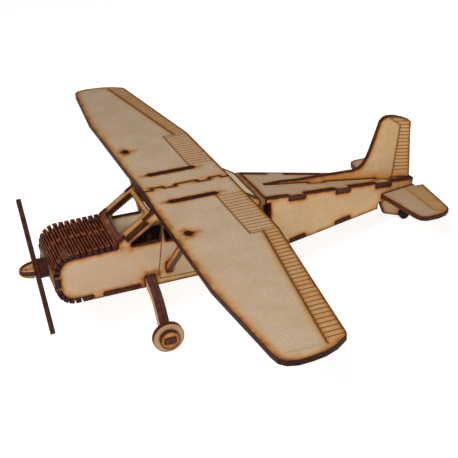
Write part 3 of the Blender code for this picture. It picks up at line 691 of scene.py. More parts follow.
@dataclass
class Skin:
    """Mesh of a flat plate, fine beside its cuts and its engraved lines, with sizes in millimetres."""

    rings: tuple[float, ...] = (0.25, 0.7, 1.4, 2.4, 3.8, 5.6)
    ring_step: float = 0.9
    least_step: float = 0.8
    crowding: float = 0.93
    grid: float = 6.0
    grid_gap: float = 1.2
    line_step: float = 1.1
    line_gap: float = 0.2
    past_halo: float = 0.5
    merge: float = 0.12
    snap: float = 1e-5

    def ring_points(self, segments: np.ndarray) -> np.ndarray:
        """Lay points beside every side of an outline, on both sides.

        Args:
            segments: the outline's sides.

        Returns:
            Rows of (x, y, distance of the ring).
        """
        rows = []
        for ring in self.rings:
            step = max(self.least_step, ring * self.ring_step)
            for segment in segments:
                length = math.hypot(*(segment[2:] - segment[:2]))
                if length < TINY:
                    continue
                count = max(1, round(length / step))
                shares = (np.arange(count) + 0.5) / count
                for offset in (ring, -ring):
                    rows.append(np.hstack((beside(segment, shares, offset), np.full((count, 1), ring))))
        return np.vstack(rows)

    def line_points(self, outline: PlateOutline, engravings: tuple) -> np.ndarray:
        """Lay points on and beside the engraved lines.

        Args:
            outline: the plate.
            engravings: its lines.

        Returns:
            Flat points.
        """
        rows = [np.zeros((0, 2))]
        for line in engravings:
            half = line.core / 2
            for segment in outline.flat_run(line.points):
                count = max(2, round(math.hypot(*(segment[2:] - segment[:2])) / self.line_step) + 1)
                shares = np.linspace(0.0, 1.0, count)
                for ring in (0.0, half, (half + line.halo) / 2, line.halo, line.halo + self.past_halo):
                    rows += [beside(segment, shares, ring), beside(segment, shares, -ring)]
        return np.vstack(rows)

    def spread(self, outline: PlateOutline, dress: Dress) -> tuple[np.ndarray, np.ndarray]:
        """Fill an outline with points and triangles.

        Args:
            outline: the plate.
            dress: what is drawn on it.

        Returns:
            The points and the triangles, counter-clockwise.
        """
        segments = segments_of(outline.loops)
        rings = self.ring_points(segments)
        clear = nearest(rings[:, :2], segments) > rings[:, 2] * self.crowding
        rings = rings[inside(rings[:, :2], segments) & clear, :2]
        low, high = segments[:, :2].min(axis=0), segments[:, :2].max(axis=0)
        columns, rows = (np.arange(low[axis], high[axis], self.grid) for axis in (0, 1))
        lattice = np.array([(x, y) for x in columns for y in rows])
        far = nearest(lattice, segments) > self.rings[-1] * self.grid_gap
        lattice = lattice[inside(lattice, segments) & far]
        lines = self.line_points(outline, dress.engravings)
        lines = lines[inside(lines, segments) & (nearest(lines, segments) > self.line_gap)]
        interior = np.vstack((lines, rings, lattice))
        cells = np.round(interior / self.merge).astype(int)
        _, unique = np.unique(cells, axis=0, return_index=True)
        return self.triangulate(outline.loops, interior[np.sort(unique)])

    def triangulate(self, loops: list[np.ndarray], interior: np.ndarray) -> tuple[np.ndarray, np.ndarray]:
        """Join an outline and the points inside it into triangles.

        Args:
            loops: the outline and its holes.
            interior: points inside.

        Returns:
            The points and the triangles, counter-clockwise.
        """
        edges = []
        start = 0
        for loop in loops:
            count = len(loop)
            edges += [(start + index, start + (index + 1) % count) for index in range(count)]
            start += count
        points = [Vector(point) for point in np.vstack((*loops, interior))]
        found, _, faces, *_ = delaunay_2d_cdt(points, edges, [], 0, self.snap)
        flat = np.array([(point.x, point.y) for point in found])
        triangles = np.array([face for face in faces if len(face) == 3])
        triangles = triangles[inside(flat[triangles].mean(axis=1), segments_of(loops))]
        corners = flat[triangles]
        first = corners[:, 1] - corners[:, 0]
        second = corners[:, 2] - corners[:, 0]
        clockwise = first[:, 0] * second[:, 1] < first[:, 1] * second[:, 0]
        triangles[clockwise] = triangles[clockwise][:, ::-1]
        return flat, triangles


@dataclass
class Drawing:
    """Amounts that one plate's points carry, worked out from what is drawn on it."""

    outline: PlateOutline
    dress: Dress
    flat: np.ndarray

    def engraved(self) -> tuple[np.ndarray, np.ndarray]:
        """Measure each point against the engraved lines.

        Returns:
            Its reach into the nearest line, 1 at the core's rim and 2 at the
            halo's, and that line's strength.
        """
        reach = np.full(len(self.flat), NO_LINE)
        strength = np.zeros(len(self.flat))
        for line in self.dress.engravings:
            gap = nearest(self.flat, self.outline.flat_run(line.points))
            half = line.core / 2
            own = np.where(gap < half, gap / half, 1.0 + (gap - half) / (line.halo - half))
            strength = np.where(own < reach, line.strength, strength)
            reach = np.minimum(own, reach)
        return reach, strength

    def darkened(self, smears: tuple) -> np.ndarray:
        """Return how dark each point is from the given smears: smoke, and painted shade on the cabin's
        inner faces.
        """
        amount = np.zeros(len(self.flat))
        for smear in smears:
            share = np.clip(nearest(self.flat, self.outline.flat_run(smear.points)) / smear.reach, 0.0, 1.0)
            amount = np.maximum(amount, smear.level * (1.0 - share ** 2))
        return amount

    def toasted(self) -> np.ndarray:
        """Return how brown each point is."""
        amount = np.full(len(self.flat), self.dress.toast)
        for area in self.dress.areas:
            ring = np.array([self.outline.flatten(point) for point in area.points])
            amount = np.where(inside(self.flat, segments_of([ring])), area.level, amount)
        return amount

    def marks(self) -> dict[Mark, np.ndarray]:
        """Return every mark of the front face's points, then of the back face's."""
        reach, strength = self.engraved()
        edge = nearest(self.flat, segments_of(self.outline.loops))
        plain = np.zeros(len(self.flat))
        front = (edge, reach, strength, self.darkened(self.dress.smears), self.toasted())
        back = (edge, plain + NO_LINE, plain, self.darkened(self.dress.back_painted_shade), plain + self.dress.toast)
        pairs = zip(front, front if self.dress.both else back)
        return {mark: np.concatenate(pair) for mark, pair in zip(Mark, pairs)}


def new_piece(name: str, mesh: Mesh, body: Body) -> Object:
    """Put a finished mesh in the scene as a piece.

    Args:
        name: name of the piece.
        mesh: its mesh, with its place in it.
        body: body that it moves with.

    Returns:
        The piece.
    """
    mesh.shade_smooth()
    mesh.set_sharp_from_angle(angle=SHARP_ANGLE)
    piece = bpy.data.objects.new(name, mesh)
    bpy.context.scene.collection.objects.link(piece)
    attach(piece, body.value)
    LOG.info("%s: %d faces", name, len(mesh.polygons))
    return piece


def boundary_of(triangles: np.ndarray) -> list[tuple[int, int]]:
    """Return the directed edges that only one triangle uses, in a fixed order."""
    directed = {(int(tri[i]), int(tri[(i + 1) % 3])) for tri in triangles for i in range(3)}
    return sorted(edge for edge in directed if (edge[1], edge[0]) not in directed)


class SkinPart(Enum):
    """Parts of a skin's surface, in the order of its material slots."""

    FACE = 0
    EDGE = 1
    DEEP_EDGE = 2
    BACK = 3


@dataclass
class PlateWorker:
    """Makes skins for flat solids and puts them in the solids' place."""

    palette: Palette
    skin: Skin = field(default_factory=Skin)
    groove_depth: float = 0.12

    def cover(
        self,
        node: str,
        facing: Facing,
        dress: Dress = Dress(),
        face: Material | None = None,
        cut: Material | None = None,
        inner: Material | None = None,
        slot: Slot = Slot.PALE,
        body: Body = Body.AIRFRAME,
        deep_above: float = math.inf,
    ) -> None:
        """Replace a flat solid by its skin.

        Args:
            node: name of the solid.
            facing: which way the front face looks.
            dress: what is drawn on it.
            face: finish of its faces, or None for the pressed face.
            cut: finish of the edges, or None for the charred cut.
            inner: finish of the back face, or None for the front face's.
            slot: the record's material slot; not used.
            body: body that the piece moves with.
            deep_above: height in the building frame above which edges are almost black, painted shade on
                the tab tops that sit in the wing's slots.
        """
        outline = read_outline(node, facing)
        flat, triangles = self.skin.spread(outline, dress)
        count = len(flat)
        marks = Drawing(outline, dress, flat).marks()
        reach, strength = marks[Mark.LINE][:count], marks[Mark.DEPTH][:count]
        sink = self.groove_depth * np.clip(1.0 - reach, 0.0, 1.0) * strength
        points = [outline.lift(place, outline.front - drop) for place, drop in zip(flat, sink)]
        points += [outline.lift(place, outline.back) for place in flat]
        faces = [tuple(int(i) for i in tri) for tri in triangles]
        faces += [tuple(int(i) + count for i in tri[::-1]) for tri in triangles]
        back = SkinPart.BACK if inner else SkinPart.FACE
        parts = [SkinPart.FACE] * len(triangles) + [back] * len(triangles)
        heights = flat @ np.array((outline.across.z, outline.along.z))
        for start, end in boundary_of(triangles):
            faces.append((start, start + count, end + count, end))
            # tab tops in the wing's slots: almost black, painted shade
            deep = min(heights[start], heights[end]) > deep_above
            parts.append(SkinPart.DEEP_EDGE if deep else SkinPart.EDGE)
        mesh = bpy.data.meshes.new("skin_" + node)
        mesh.from_pydata([tuple(point) for point in points], [], faces)
        mesh.polygons.foreach_set("material_index", [part.value for part in parts])
        materials = (face or self.palette.face, cut or self.palette.cut, self.palette.deep, inner)
        for material in filter(None, materials):
            mesh.materials.append(material)
        for mark, values in marks.items():
            attribute = mesh.attributes.new(mark.value, "FLOAT", "POINT")
            attribute.data.foreach_set("value", values.astype(np.float32))
        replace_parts(new_piece("skin_" + node, mesh, body), node)


@dataclass(frozen=True)
class RibRow:
    """Row of engraved ribs between a hinge line and a rim, as flat points, with a width in millimetres."""

    count: int
    hinge: tuple
    rim: tuple
    width: float = 0.5

    def runs(self) -> tuple:
        """Return each rib's two ends."""
        shares = [(index + 0.5) / self.count for index in range(self.count)]
        ends = [(np.array(line[0]), np.array(line[1])) for line in (self.hinge, self.rim)]
        return tuple(tuple(tuple(first * (1 - s) + second * s) for first, second in ends) for s in shares)

    def on_side(self, side: int) -> "RibRow":
        """Return the row with its first coordinates multiplied by a side's sign."""
        hinge, rim = (tuple((u * side, v) for u, v in line) for line in (self.hinge, self.rim))
        return replace(self, hinge=hinge, rim=rim)


@dataclass
class EngravedRibs:
    """Rows of burnt strips between two straight lines, made by one geometry tree.

    The strips are the floors of shallow grooves that the laser engraved at even
    steps across a control surface.
    """

    finish: Material
    depth: float = 0.10
    proud: float = 0.012
    inputs: tuple = (
        ("Count", "NodeSocketInt"),
        ("Hinge Start", "NodeSocketVector"),
        ("Hinge End", "NodeSocketVector"),
        ("Rim Start", "NodeSocketVector"),
        ("Rim End", "NodeSocketVector"),
        ("Width", "NodeSocketFloat"),
        ("Depth", "NodeSocketFloat"),
        ("Finish", "NodeSocketMaterial"),
    )

    def tree(self) -> GeometryNodeTree:
        """Build the tree, or return the one that is there."""
        name = "engraved_ribs"
        if name in bpy.data.node_groups:
            return bpy.data.node_groups[name]
        tree = bpy.data.node_groups.new(name, "GeometryNodeTree")
        for label, kind in self.inputs:
            tree.interface.new_socket(label, in_out="INPUT", socket_type=kind)
        tree.interface.new_socket("Geometry", in_out="OUTPUT", socket_type="NodeSocketGeometry")
        sizes = add_node(tree, "NodeGroupInput").outputs
        row = add_node(tree, "GeometryNodeMeshLine", {"mode": "OFFSET"}, Count=sizes["Count"])
        index = add_node(tree, "GeometryNodeInputIndex")
        number = add_node(tree, MATH, {"operation": "ADD"}, i0=index, i1=0.5)
        share = add_node(tree, MATH, {"operation": "DIVIDE"}, i0=number, i1=sizes["Count"])
        hinge, rim = (
            add_node(tree, MIX, VECTOR_MIX, i0=share, i4=sizes[line + " Start"], i5=sizes[line + " End"])
            for line in ("Hinge", "Rim")
        )
        middle = add_node(tree, MIX, VECTOR_MIX, i0=0.5, i4=hinge, i5=rim)
        run = add_node(tree, "ShaderNodeVectorMath", {"operation": "SUBTRACT"}, i0=rim, i1=hinge)
        length = add_node(tree, "ShaderNodeVectorMath", {"operation": "LENGTH"}, i0=run)
        size = add_node(tree, "ShaderNodeCombineXYZ", X=1.0, Y=sizes["Width"], Z=sizes["Depth"])
        strip = add_node(tree, "GeometryNodeMeshCube", Size=size)
        placed = {
            "Points": add_node(tree, "GeometryNodeSetPosition", Geometry=row, Position=middle),
            "Instance": strip.outputs[0],
            "Rotation": add_node(
                tree, "FunctionNodeAlignRotationToVector", {"axis": "X", "pivot_axis": "Z"}, Vector=run
            ),
            "Scale": add_node(tree, "ShaderNodeCombineXYZ", X=length, Y=1.0, Z=1.0),
        }
        copies = add_node(tree, "GeometryNodeInstanceOnPoints", **placed)
        real = add_node(tree, "GeometryNodeRealizeInstances", Geometry=copies)
        dressed = add_node(tree, "GeometryNodeSetMaterial", Geometry=real, Material=sizes["Finish"])
        tree.links.new(dressed.outputs[0], add_node(tree, "NodeGroupOutput").inputs[0])
        return tree

    def make(self, name: str, row: RibRow, placement: Matrix) -> None:
        """Make one row of strips on the airframe.

        Args:
            name: name of the piece.
            row: where the ribs run.
            placement: matrix from the flat points to the building frame.
        """
        carrier = bpy.data.objects.new(name + "_carrier", bpy.data.meshes.new(name + "_carrier"))
        bpy.context.scene.collection.objects.link(carrier)
        modifier = carrier.modifiers.new("ribs", "NODES")
        modifier.node_group = self.tree()
        ends = [(*point, 0.0) for point in (*row.hinge, *row.rim)]
        values = (row.count, *ends, row.width, self.depth, self.finish)
        chosen = {label: value for (label, _), value in zip(self.inputs, values)}
        for socket in modifier.node_group.interface.items_tree:
            if socket.in_out == "INPUT":
                modifier[socket.identifier] = chosen[socket.name]
        bpy.context.view_layer.update()
        evaluated = carrier.evaluated_get(bpy.context.evaluated_depsgraph_get())
        mesh = bpy.data.meshes.new_from_object(evaluated)
        mesh.name = name
        bpy.data.objects.remove(carrier, do_unlink=True)
        mesh.transform(PARK @ placement @ Matrix.Translation((0.0, 0.0, self.proud - self.depth / 2)))
        new_piece(name, mesh, Body.AIRFRAME)


def mirrored(points: tuple) -> tuple:
    """Mirror building-frame points to the right-hand side."""
    return tuple((-x, y, z) for x, y, z in points)


def on_level(points: tuple, z: float = 0.0) -> tuple:
    """Give flat points (x, y) a height."""
    return tuple((x, y, z) for x, y in points)


def upright(points: tuple, x: float) -> tuple:
    """Give upright points (y, z) a place across the model."""
    return tuple((x, y, z) for y, z in points)


def mirror_dress(dress: Dress) -> Dress:
    """Return the same drawing for the right-hand side."""
    drawn = {
        name: tuple(replace(item, points=mirrored(item.points)) for item in getattr(dress, name))
        for name in ("engravings", "smears", "areas", "back_painted_shade")
    }
    return replace(dress, **drawn)


@dataclass
class Wing:
    """Two wing halves with engraved flaps and ailerons, as flat points (x, y)."""

    flap: tuple = ((23.6, 40.6), (80.1, 40.6), (80.1, 59.6), (23.6, 59.6))
    flap_ribs: RibRow = RibRow(14, ((24.85, 40.9), (79.45, 40.9)), ((24.85, 58.6), (79.45, 58.5)))
    flap_end: tuple = ((80.1, 40.6), (80.1, 59.0))
    aileron_hinge: tuple = ((80.1, 48.9), (195.3, 31.4))
    aileron_rim: tuple = ((200.5, 33.0), (193.0, 45.0), (80.1, 60.0))
    aileron_ribs: RibRow = RibRow(28, ((82.22, 48.9), (193.1, 32.0)), ((82.22, 58.2), (193.1, 43.2)), 0.6)
    tip_line: tuple = ((194.5, 9.1), (195.6, 27.8))
    seam: tuple = ((1.4, 0.0), (-1.4, 22.0), (1.4, 40.0), (-1.4, 59.0))
    seam_steps: tuple = (5.96, 13.7, 22.05, 37.5, 45.9, 53.6)
    leading_root: tuple = ((0.0, -1.4), (30.0, -1.4))
    leading: tuple = ((30.0, -1.4), (128.0, -2.4), (192.0, 3.0), (197.6, 4.2), (201.2, 7.2), (202.5, 12.8))
    tip_back: tuple = ((201.4, 27.6), (198.6, 35.4), (193.6, 43.0))
    slot_x: float = 21.5
    slot_ends: tuple = (11.0, 42.0)
    strut_hole: tuple = (64.9, 7.5)

    def smoke(self) -> tuple:
        """Return the rows (run, reach, level) of smoke on the left half."""
        slot, (front, back) = self.slot_x, self.slot_ends
        x, y = self.strut_hole
        return (
            (self.leading_root, 5.6, 0.55),
            (self.leading, 6.6, 0.62),
            (self.leading, 2.6, 0.8),
            (self.leading[2:], 6.5, 0.7),
            (self.tip_back, 5.5, 0.6),
            (self.aileron_hinge, 4.2, 0.42),
            (((slot, front - 1.2), (slot, front)), 2.4, 1.0),
            (((slot, front - 6.0), (slot, front)), 3.2, 0.62),
            (((slot, back), (slot, back + 1.2)), 2.4, 1.0),
            (((slot, back), (slot, back + 5.5)), 3.2, 0.6),
            (((x, y - 3.4), (x, y + 3.4)), 2.4, 1.0),
            (((x, y - 6.5), (x, y + 7.5)), 3.2, 0.6),
            (((x - 3.6, y), (x + 3.6, y)), 2.4, 1.0),
            (((x - 6.5, y), (x + 6.5, y)), 3.0, 0.55),
            (self.seam, 3.0, 0.5),
            *((((-1.4, step), (1.4, step)), 3.2, 0.9) for step in self.seam_steps),
        )

    def dress(self) -> Dress:
        """Return what is drawn on the left half."""
        lines = (
            (self.flap[:2], 0.8, 2.0, 0.9),
            (self.flap_end, 0.8, 1.6, 0.8),
            (self.aileron_hinge, 1.2, 3.6, 0.9),
            (self.tip_line, 0.7, 1.8, 0.22),
            *((run, 0.5, 1.2, 0.35) for run in self.flap_ribs.runs()),
            *((run, 0.6, 1.7, 0.6) for run in self.aileron_ribs.runs()),
        )
        areas = ((self.flap, 0.45), (self.aileron_hinge + self.aileron_rim, 0.65))
        return Dress(
            tuple(Engraving(on_level(run), *sizes) for run, *sizes in lines),
            tuple(Smear(on_level(run), *sizes) for run, *sizes in self.smoke()),
            tuple(Toasted(on_level(ring), level) for ring, level in areas),
            toast=0.05,
        )

    def build(self, worker: PlateWorker, ribs: EngravedRibs) -> None:
        """Dress both halves.

        Args:
            worker: makes the skins.
            ribs: makes the engraved ribs.
        """
        left = self.dress()
        for side, label, dress in ((1, "left", left), (-1, "right", mirror_dress(left))):
            worker.cover("wing_" + label, Facing.LEVEL, dress, cut=worker.palette.deep)
            ribs.make("flap_lines_" + label, self.flap_ribs.on_side(side), Matrix.Identity(4))
            ribs.make("aileron_lines_" + label, self.aileron_ribs.on_side(side), Matrix.Identity(4))
        worker.cover("wing_joiner", Facing.LEVEL, Dress(toast=0.6))


@dataclass
class Cabin:
    """Cabin sides, windscreen frame, floors and cross plates.

    Smoke and painted shade are rows (run, reach, level), with upright points (y, z); the painted shade
    darkens the cabin's inner faces.
    """

    outer: float = 23.0
    inner: float = 20.0
    door: tuple = ((4.4, -19.4), (0.1, -49.5), (0.9, -53.0), (25.3, -53.6))
    smoke: tuple = (
        (((-25.6, -25.0), (-17.0, -26.6)), 4.6, 0.62),
        (((-66.0, -36.0), (-64.0, -40.0), (-64.0, -45.0)), 4.0, 0.4),
        (((-10.5, -49.0), (-1.0, -49.0)), 5.5, 0.8),
        (((-10.5, -56.0), (-10.5, -49.0)), 3.6, 0.6),
        (((-50.0, -25.6), (-25.6, -25.0)), 3.2, 0.4),
        (((-56.0, -26.0), (-62.0, -30.0), (-63.6, -35.0)), 3.6, 0.45),
        (((-63.6, -45.0), (-62.0, -49.5), (-56.0, -53.6)), 3.6, 0.5),
        (((-44.0, -56.0), (-38.0, -56.0)), 4.0, 0.5),
        (((7.5, -50.0), (7.5, -41.5)), 3.6, 0.6),
        (((-13.0, -57.0), (-11.0, -50.0)), 3.0, 0.5),
        (((12.0, -58.0), (31.0, -58.0)), 4.0, 0.6),
    )
    # painted shade: darkens the cabin sides' inner faces, where the wing and the sides keep the light out
    painted_shade: tuple = (
        (((-7.0, -43.5), (40.0, -43.5)), 8.5, 1.5),
        (((-8.0, -51.5), (40.0, -51.5)), 8.5, 1.5),
        (((-58.0, -35.0), (-36.0, -32.0)), 10.5, 1.0),
    )
    frame_foot: tuple = (
        (-24.0, -26.5, -22.3),
        (24.0, -26.5, -22.3),
        (24.0, -20.4, -18.1),
        (-24.0, -20.4, -18.1),
    )

    def build(self, worker: PlateWorker) -> None:
        """Dress the cabin.

        Args:
            worker: makes the skins.
        """
        inner, face = worker.palette.inner, worker.palette.face
        door = Engraving(upright(self.door, self.outer), 0.5, 1.0, 1.0)
        smoke = tuple(Smear(upright(run, self.outer), *sizes) for run, *sizes in self.smoke)
        # painted shade on the sides' inner faces, which take the pale inner finish, painted light
        painted_shade = tuple(Smear(upright(run, self.inner), *sizes) for run, *sizes in self.painted_shade)
        left = Dress((door,), smoke, back_painted_shade=painted_shade, toast=0.2)
        worker.cover("side_front_left", Facing.LEFT, left, inner=inner, deep_above=UNDER_WING)
        right = mirror_dress(left)
        worker.cover("side_front_right", Facing.RIGHT, right, inner=inner, deep_above=UNDER_WING)
        foot = Dress(areas=(Toasted(self.frame_foot, 1.2),))
        worker.cover("windscreen_frame", Facing.WIDEST_UP, foot, worker.palette.frame)
        plain = Dress(toast=0.35)
        # painted light: the floors, the back of the dash former and the top plate take the pale inner
        # finish
        worker.cover("dash_former", Facing.ACROSS, plain, inner=inner)
        worker.cover("floor_front", Facing.LEVEL, plain, inner, inner=face)
        worker.cover("floor_mid", Facing.WIDEST_UP, plain, inner, inner=face)
        worker.cover("top_plate", Facing.WIDEST_UP, Dress(), inner, inner=face)
        worker.cover("rear_bulkhead", Facing.ACROSS, plain, cut=worker.palette.light)


class CowlPart(Enum):
    """Parts of the bent plate's surface, in the order of its material slots."""

    RAIL = 0
    SLOT_WALL = 1
    TOOTH_END = 2
    NOSE_FACE = 3


@dataclass
class Cowl:
    """The bent plate over the cowl, with its living hinge."""

    node: str = "cowl_wrap"
    bend_y: float = -54.5
    top_bend_z: float = -34.6
    low_bend_z: float = -44.85
    half_width: float = 23.0
    end_margin: float = 0.2
    uncut_deg: tuple = (178.5, 203.5)
    side_dot: float = 0.9
    sheet_dot: float = 0.85

    def outward(self, place: Vector) -> Vector:
        """Return which way the sheet looks at a place in the building frame."""
        if place.y > self.bend_y:
            middle = (self.top_bend_z + self.low_bend_z) / 2
            return Vector((0.0, 0.0, math.copysign(1.0, place.z - middle)))
        bend_z = min(max(place.z, self.low_bend_z), self.top_bend_z)
        return Vector((0.0, place.y - self.bend_y, place.z - bend_z)).normalized()

    def part_of(self, place: Vector, normal: Vector) -> CowlPart:
        """Tell which part of the plate's surface a face is.

        Args:
            place: the face's middle in the building frame.
            normal: its normal.

        Returns:
            The part.
        """
        if abs(normal.x) > self.side_dot:
            outer = abs(place.x) > self.half_width - self.end_margin
            return CowlPart.TOOTH_END if outer else CowlPart.SLOT_WALL
        outward = self.outward(place)
        if abs(normal.dot(outward)) < self.sheet_dot:
            return CowlPart.SLOT_WALL
        lean = math.degrees(math.atan2(outward.z, outward.y)) % 360.0
        return CowlPart.NOSE_FACE if self.uncut_deg[0] < lean < self.uncut_deg[1] else CowlPart.RAIL

    def build(self, palette: Palette) -> None:
        """Dress the bent plate.

        Args:
            palette: the finishes.
        """
        shape = building_mesh(self.node)
        for face in shape.faces:
            face.material_index = self.part_of(face.calc_center_median(), face.normal).value
        bmesh.ops.transform(shape, matrix=PARK, verts=shape.verts)
        mesh = bpy.data.meshes.new("skin_" + self.node)
        shape.to_mesh(mesh)
        shape.free()
        for material in (palette.rail, palette.deep, palette.tooth, palette.nose):
            mesh.materials.append(material)
        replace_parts(new_piece("skin_" + self.node, mesh, Body.AIRFRAME), self.node)


@dataclass
class Tail:
    """Tail cone, fin, tailplane and tail wheel, with upright points (y, z) on the fin."""

    rudder_hinge: tuple = ((189.3, 13.6), (185.1, -25.5))
    rudder_horn: tuple = ((179.2, 21.1), (184.2, 17.0), (189.3, 13.6))
    rudder_front: tuple = ((185.1, -27.0), (189.3, 13.6), (184.2, 17.0))
    rudder_back: tuple = ((179.2, 22.0), (200.0, 22.0), (201.0, -28.0))
    rudder_ribs: RibRow = RibRow(14, ((186.0, -21.8), (189.6, 15.0)), ((198.9, -23.6), (197.4, 13.6)), 0.45)
    horn_ribs: RibRow = RibRow(2, ((186.4, 15.2), (180.4, 21.2)), ((197.4, 13.9), (190.2, 19.6)), 0.45)
    dorsal_top: tuple = ((80.0, -6.0), (146.0, -6.0), (156.0, -17.0), (198.0, -24.0))
    dorsal_foot: tuple = ((198.0, -36.0), (80.0, -20.0))
    fin_half: float = 1.5
    deck_ends: tuple = (84.0, 199.0)
    deck_slope: float = -0.142
    deck_offset: float = -0.61
    elevator: tuple = ((7.9, 193.9), (43.0, 193.9), (46.0, 195.6), (48.0, 199.9))
    elevator_rim: tuple = ((45.0, 206.0), (6.0, 210.0))
    tailplane_top: float = -34.6

    def build(self, worker: PlateWorker, ribs: EngravedRibs) -> None:
        """Dress the tail.

        Args:
            worker: makes the skins.
            ribs: makes the engraved ribs.
        """
        palette = worker.palette
        sides = Dress(toast=0.25)
        worker.cover("side_rear_left", Facing.WIDEST_LEFT, sides, palette.tail)
        worker.cover("side_rear_right", Facing.WIDEST_RIGHT, sides, palette.tail)
        worker.cover("deck_plate", Facing.WIDEST_UP, self.deck(), cut=palette.stick)
        worker.cover("floor_rear", Facing.WIDEST_UP, sides)
        worker.cover("fin", Facing.LEFT, self.fin(), palette.tail)
        for side, label in ((1, "left"), (-1, "right")):
            across = (0, 0, side, side * self.fin_half)
            placement = Matrix((across, (side, 0, 0, 0), (0, 1, 0, 0), (0, 0, 0, 1)))
            ribs.make("rudder_lines_" + label, self.rudder_ribs.on_side(side), placement)
            ribs.make("rudder_horn_lines_" + label, self.horn_ribs.on_side(side), placement)
        worker.cover("tailplane", Facing.LEVEL, self.tailplane())
        worker.cover("tail_leg", Facing.LEFT, Dress(toast=0.4))
        black = palette.black
        turning = {"face": black, "cut": black, "slot": Slot.BLACK, "body": Body.TAIL_WHEELS}
        for label in ("left", "right"):
            worker.cover("tail_wheel_" + label, Facing.LEFT, **turning)
        frame["nodes"]["tail_axle"].material_slots[0].material = black

    def deck(self) -> Dress:
        """Return what is drawn on the deck, which is smoked where the fin stands."""
        seat = tuple((0.0, y, self.deck_offset + self.deck_slope * y) for y in self.deck_ends)
        return Dress(smears=(Smear(seat, 3.6, 0.4),), toast=0.12)

    def fin(self) -> Dress:
        """Return what is drawn on the fin."""
        ribs = self.rudder_ribs.runs() + self.horn_ribs.runs()
        lines = ((self.rudder_hinge, 0.8, 2.0, 0.9), (self.rudder_horn, 0.7, 1.6, 0.8))
        lines += tuple((run, 0.45, 1.2, 0.45) for run in ribs)
        engravings = tuple(Engraving(upright(run, self.fin_half), *sizes) for run, *sizes in lines)
        areas = ((self.rudder_front + self.rudder_back, 0.6), (self.dorsal_top + self.dorsal_foot, 0.9))
        toasted = tuple(Toasted(upright(ring, self.fin_half), level) for ring, level in areas)
        return Dress(engravings, areas=toasted, toast=0.25, both=True)

    def tailplane(self) -> Dress:
        """Return what is drawn on the tailplane."""
        hinge = on_level(self.elevator, self.tailplane_top)
        ring = hinge + on_level(self.elevator_rim, self.tailplane_top)
        return Dress(
            tuple(Engraving(run, 0.9, 2.2, 0.35) for run in (hinge, mirrored(hinge))),
            tuple(Smear(run, 3.4, 0.45) for run in (hinge, mirrored(hinge))),
            tuple(Toasted(area, 0.65) for area in (ring, mirrored(ring))),
            toast=0.1,
        )


@dataclass
class MainGear:
    """Struts, gear plates, wheels and hub caps, with how brown their faces are."""

    strut_toast: float = 0.7
    wheel_toast: float = 0.45
    cap_toast: float = 1.0
    plate_toast: float = 0.3
    strut_run: tuple = ((23.0, 6.0, -46.0), (65.0, 6.0, -3.0))
    axle_tab: tuple = ((60.0, -9.4, -76.96), (60.0, -2.2, -76.96))

    def build(self, worker: PlateWorker) -> None:
        """Dress the gear.

        Args:
            worker: makes the skins.
        """
        palette = worker.palette
        cap = Dress(smears=(Smear(self.axle_tab, 3.6, 0.75),), toast=self.cap_toast, both=True)
        strut = Dress(smears=(Smear(self.strut_run, 6.0, 0.3),), toast=self.strut_toast)
        wheel = Dress(toast=self.wheel_toast)
        sides = (("left", Body.LEFT_WHEEL, strut), ("right", Body.RIGHT_WHEEL, mirror_dress(strut)))
        for label, body, own in sides:
            worker.cover("strut_" + label, Facing.ACROSS, own, deep_above=UNDER_WING)
            worker.cover("wheel_" + label, Facing.LEFT, wheel, palette.disc, body=body)
            worker.cover("hub_cap_" + label, Facing.LEFT, cap)
        plate = Dress(toast=self.plate_toast)
        for node in ("gear_plate_front", "gear_plate_rear"):
            worker.cover(node, Facing.ACROSS, plate, cut=palette.stick, slot=Slot.CHARRED)


@dataclass
class PropellerUnit:
    """Propeller, spinner plates, hub discs and the disc that keeps the shaft in."""

    spinner_toast: float = 0.5
    hub_nodes: tuple = ("hub_disc_front", "hub_disc_rear")

    def build(self, worker: PlateWorker) -> None:
        """Dress the propeller unit.

        Args:
            worker: makes the skins.
        """
        blade, tooth, disc = worker.palette.blade, worker.palette.tooth, worker.palette.disc
        turning = {"body": Body.PROPELLER}
        charred = {"slot": Slot.CHARRED, **turning}
        worker.cover("propeller", Facing.ACROSS, Dress(), blade, blade, **charred)
        for node in self.hub_nodes:
            worker.cover(node, Facing.ACROSS, Dress(), tooth, tooth, **charred)
        worker.cover("prop_retainer", Facing.ACROSS, **turning)
        spinner = Dress(toast=self.spinner_toast)
        worker.cover("spinner_upright", Facing.LEFT, spinner, disc, **turning)
        worker.cover("spinner_flat", Facing.LEVEL, spinner, disc, **turning)


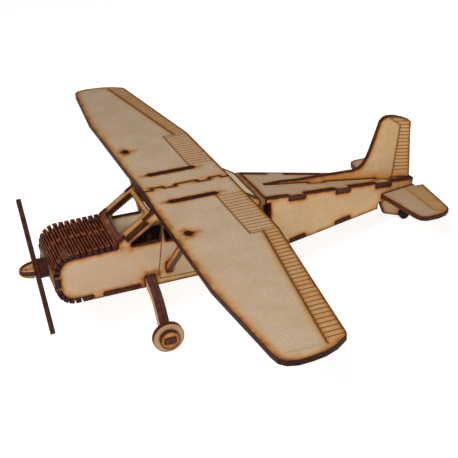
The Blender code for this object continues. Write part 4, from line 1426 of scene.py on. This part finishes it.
@dataclass
class Studio:
    """Camera in millimetres, pale floor and soft light in metres."""

    camera_place: tuple = (516.984, -166.357, 364.890)
    azimuth_deg: float = 72.49976
    elevation_deg: float = 31.10741
    roll_deg: float = -9.44983
    lens_mm: float = 72.627
    sensor_mm: float = 36.0
    clip_start: float = 0.01
    floor_half: float = 30.0
    floor_drop: float = 0.0002
    lights: tuple = (("key", (0.24, -0.35, 0.73), 5.45), ("fill", (0.62, -0.30, 0.42), 1.2))
    light_size: float = 0.34
    light_aim: tuple = (0.05, 0.0, 0.06)
    air_colour: str = "#FFFFFF"
    air_strength: float = 0.24

    def build(self) -> None:
        """Make the camera, the floor and the lights."""
        self.make_camera()
        self.make_floor()
        for name, place, power in self.lights:
            self.make_light(name, place, power)
        world = bpy.data.worlds.new("studio_air")
        world.use_nodes = True
        background = world.node_tree.nodes["Background"]
        background.inputs["Color"].default_value = linear(self.air_colour)
        background.inputs["Strength"].default_value = self.air_strength
        bpy.context.scene.world = world
        bpy.context.scene.view_settings.view_transform = "Standard"

    def make_camera(self) -> None:
        """Place the camera at the photograph's viewing angle."""
        azimuth = math.radians(self.azimuth_deg)
        elevation = math.radians(self.elevation_deg)
        away = math.cos(elevation)
        back = Vector((math.sin(azimuth) * away, -math.cos(azimuth) * away, math.sin(elevation)))
        right = Vector((math.cos(azimuth), math.sin(azimuth), 0.0))
        turn = Matrix((right, back.cross(right), back)).transposed()
        roll = Matrix.Rotation(math.radians(self.roll_deg), 3, "Z")
        data = bpy.data.cameras.new("camera")
        data.lens = self.lens_mm
        data.sensor_width = self.sensor_mm
        data.clip_start = self.clip_start
        camera = bpy.data.objects.new("camera", data)
        camera.matrix_world = Matrix.Translation(Vector(self.camera_place) * MM) @ (turn @ roll).to_4x4()
        bpy.context.scene.collection.objects.link(camera)
        bpy.context.scene.camera = camera

    def make_floor(self) -> None:
        """Lay the pale floor just under the wheels."""
        half, low = self.floor_half, -self.floor_drop
        corners = [(-half, -half, low), (half, -half, low), (half, half, low), (-half, half, low)]
        mesh = bpy.data.meshes.new("floor")
        mesh.from_pydata(corners, [], [(0, 1, 2, 3)])
        mesh.materials.append(StudioPaper().build())
        floor = bpy.data.objects.new("floor", mesh)
        bpy.context.scene.collection.objects.link(floor)

    def make_light(self, name: str, place: tuple, power: float) -> None:
        """Hang a soft square light that looks at the model.

        Args:
            name: its name.
            place: where it hangs, in metres.
            power: how strong it is, in watts.
        """
        data = bpy.data.lights.new(name, "AREA")
        data.shape = "SQUARE"
        data.size = self.light_size
        data.energy = power
        light = bpy.data.objects.new(name, data)
        light.location = place
        light.rotation_mode = "QUATERNION"
        aim = Vector(self.light_aim) - Vector(place)
        light.rotation_quaternion = aim.to_track_quat("-Z", "Y")
        bpy.context.scene.collection.objects.link(light)


def main() -> None:
    """Dress the whole model."""
    logging.basicConfig(level=logging.INFO, format="%(message)s")
    Studio().build()
    worker = PlateWorker(Palette())
    ribs = EngravedRibs(worker.palette.groove)
    Wing().build(worker, ribs)
    Cabin().build(worker)
    Cowl().build(worker.palette)
    Tail().build(worker, ribs)
    MainGear().build(worker)
    PropellerUnit().build(worker)


if __name__ == "__main__":
    main()
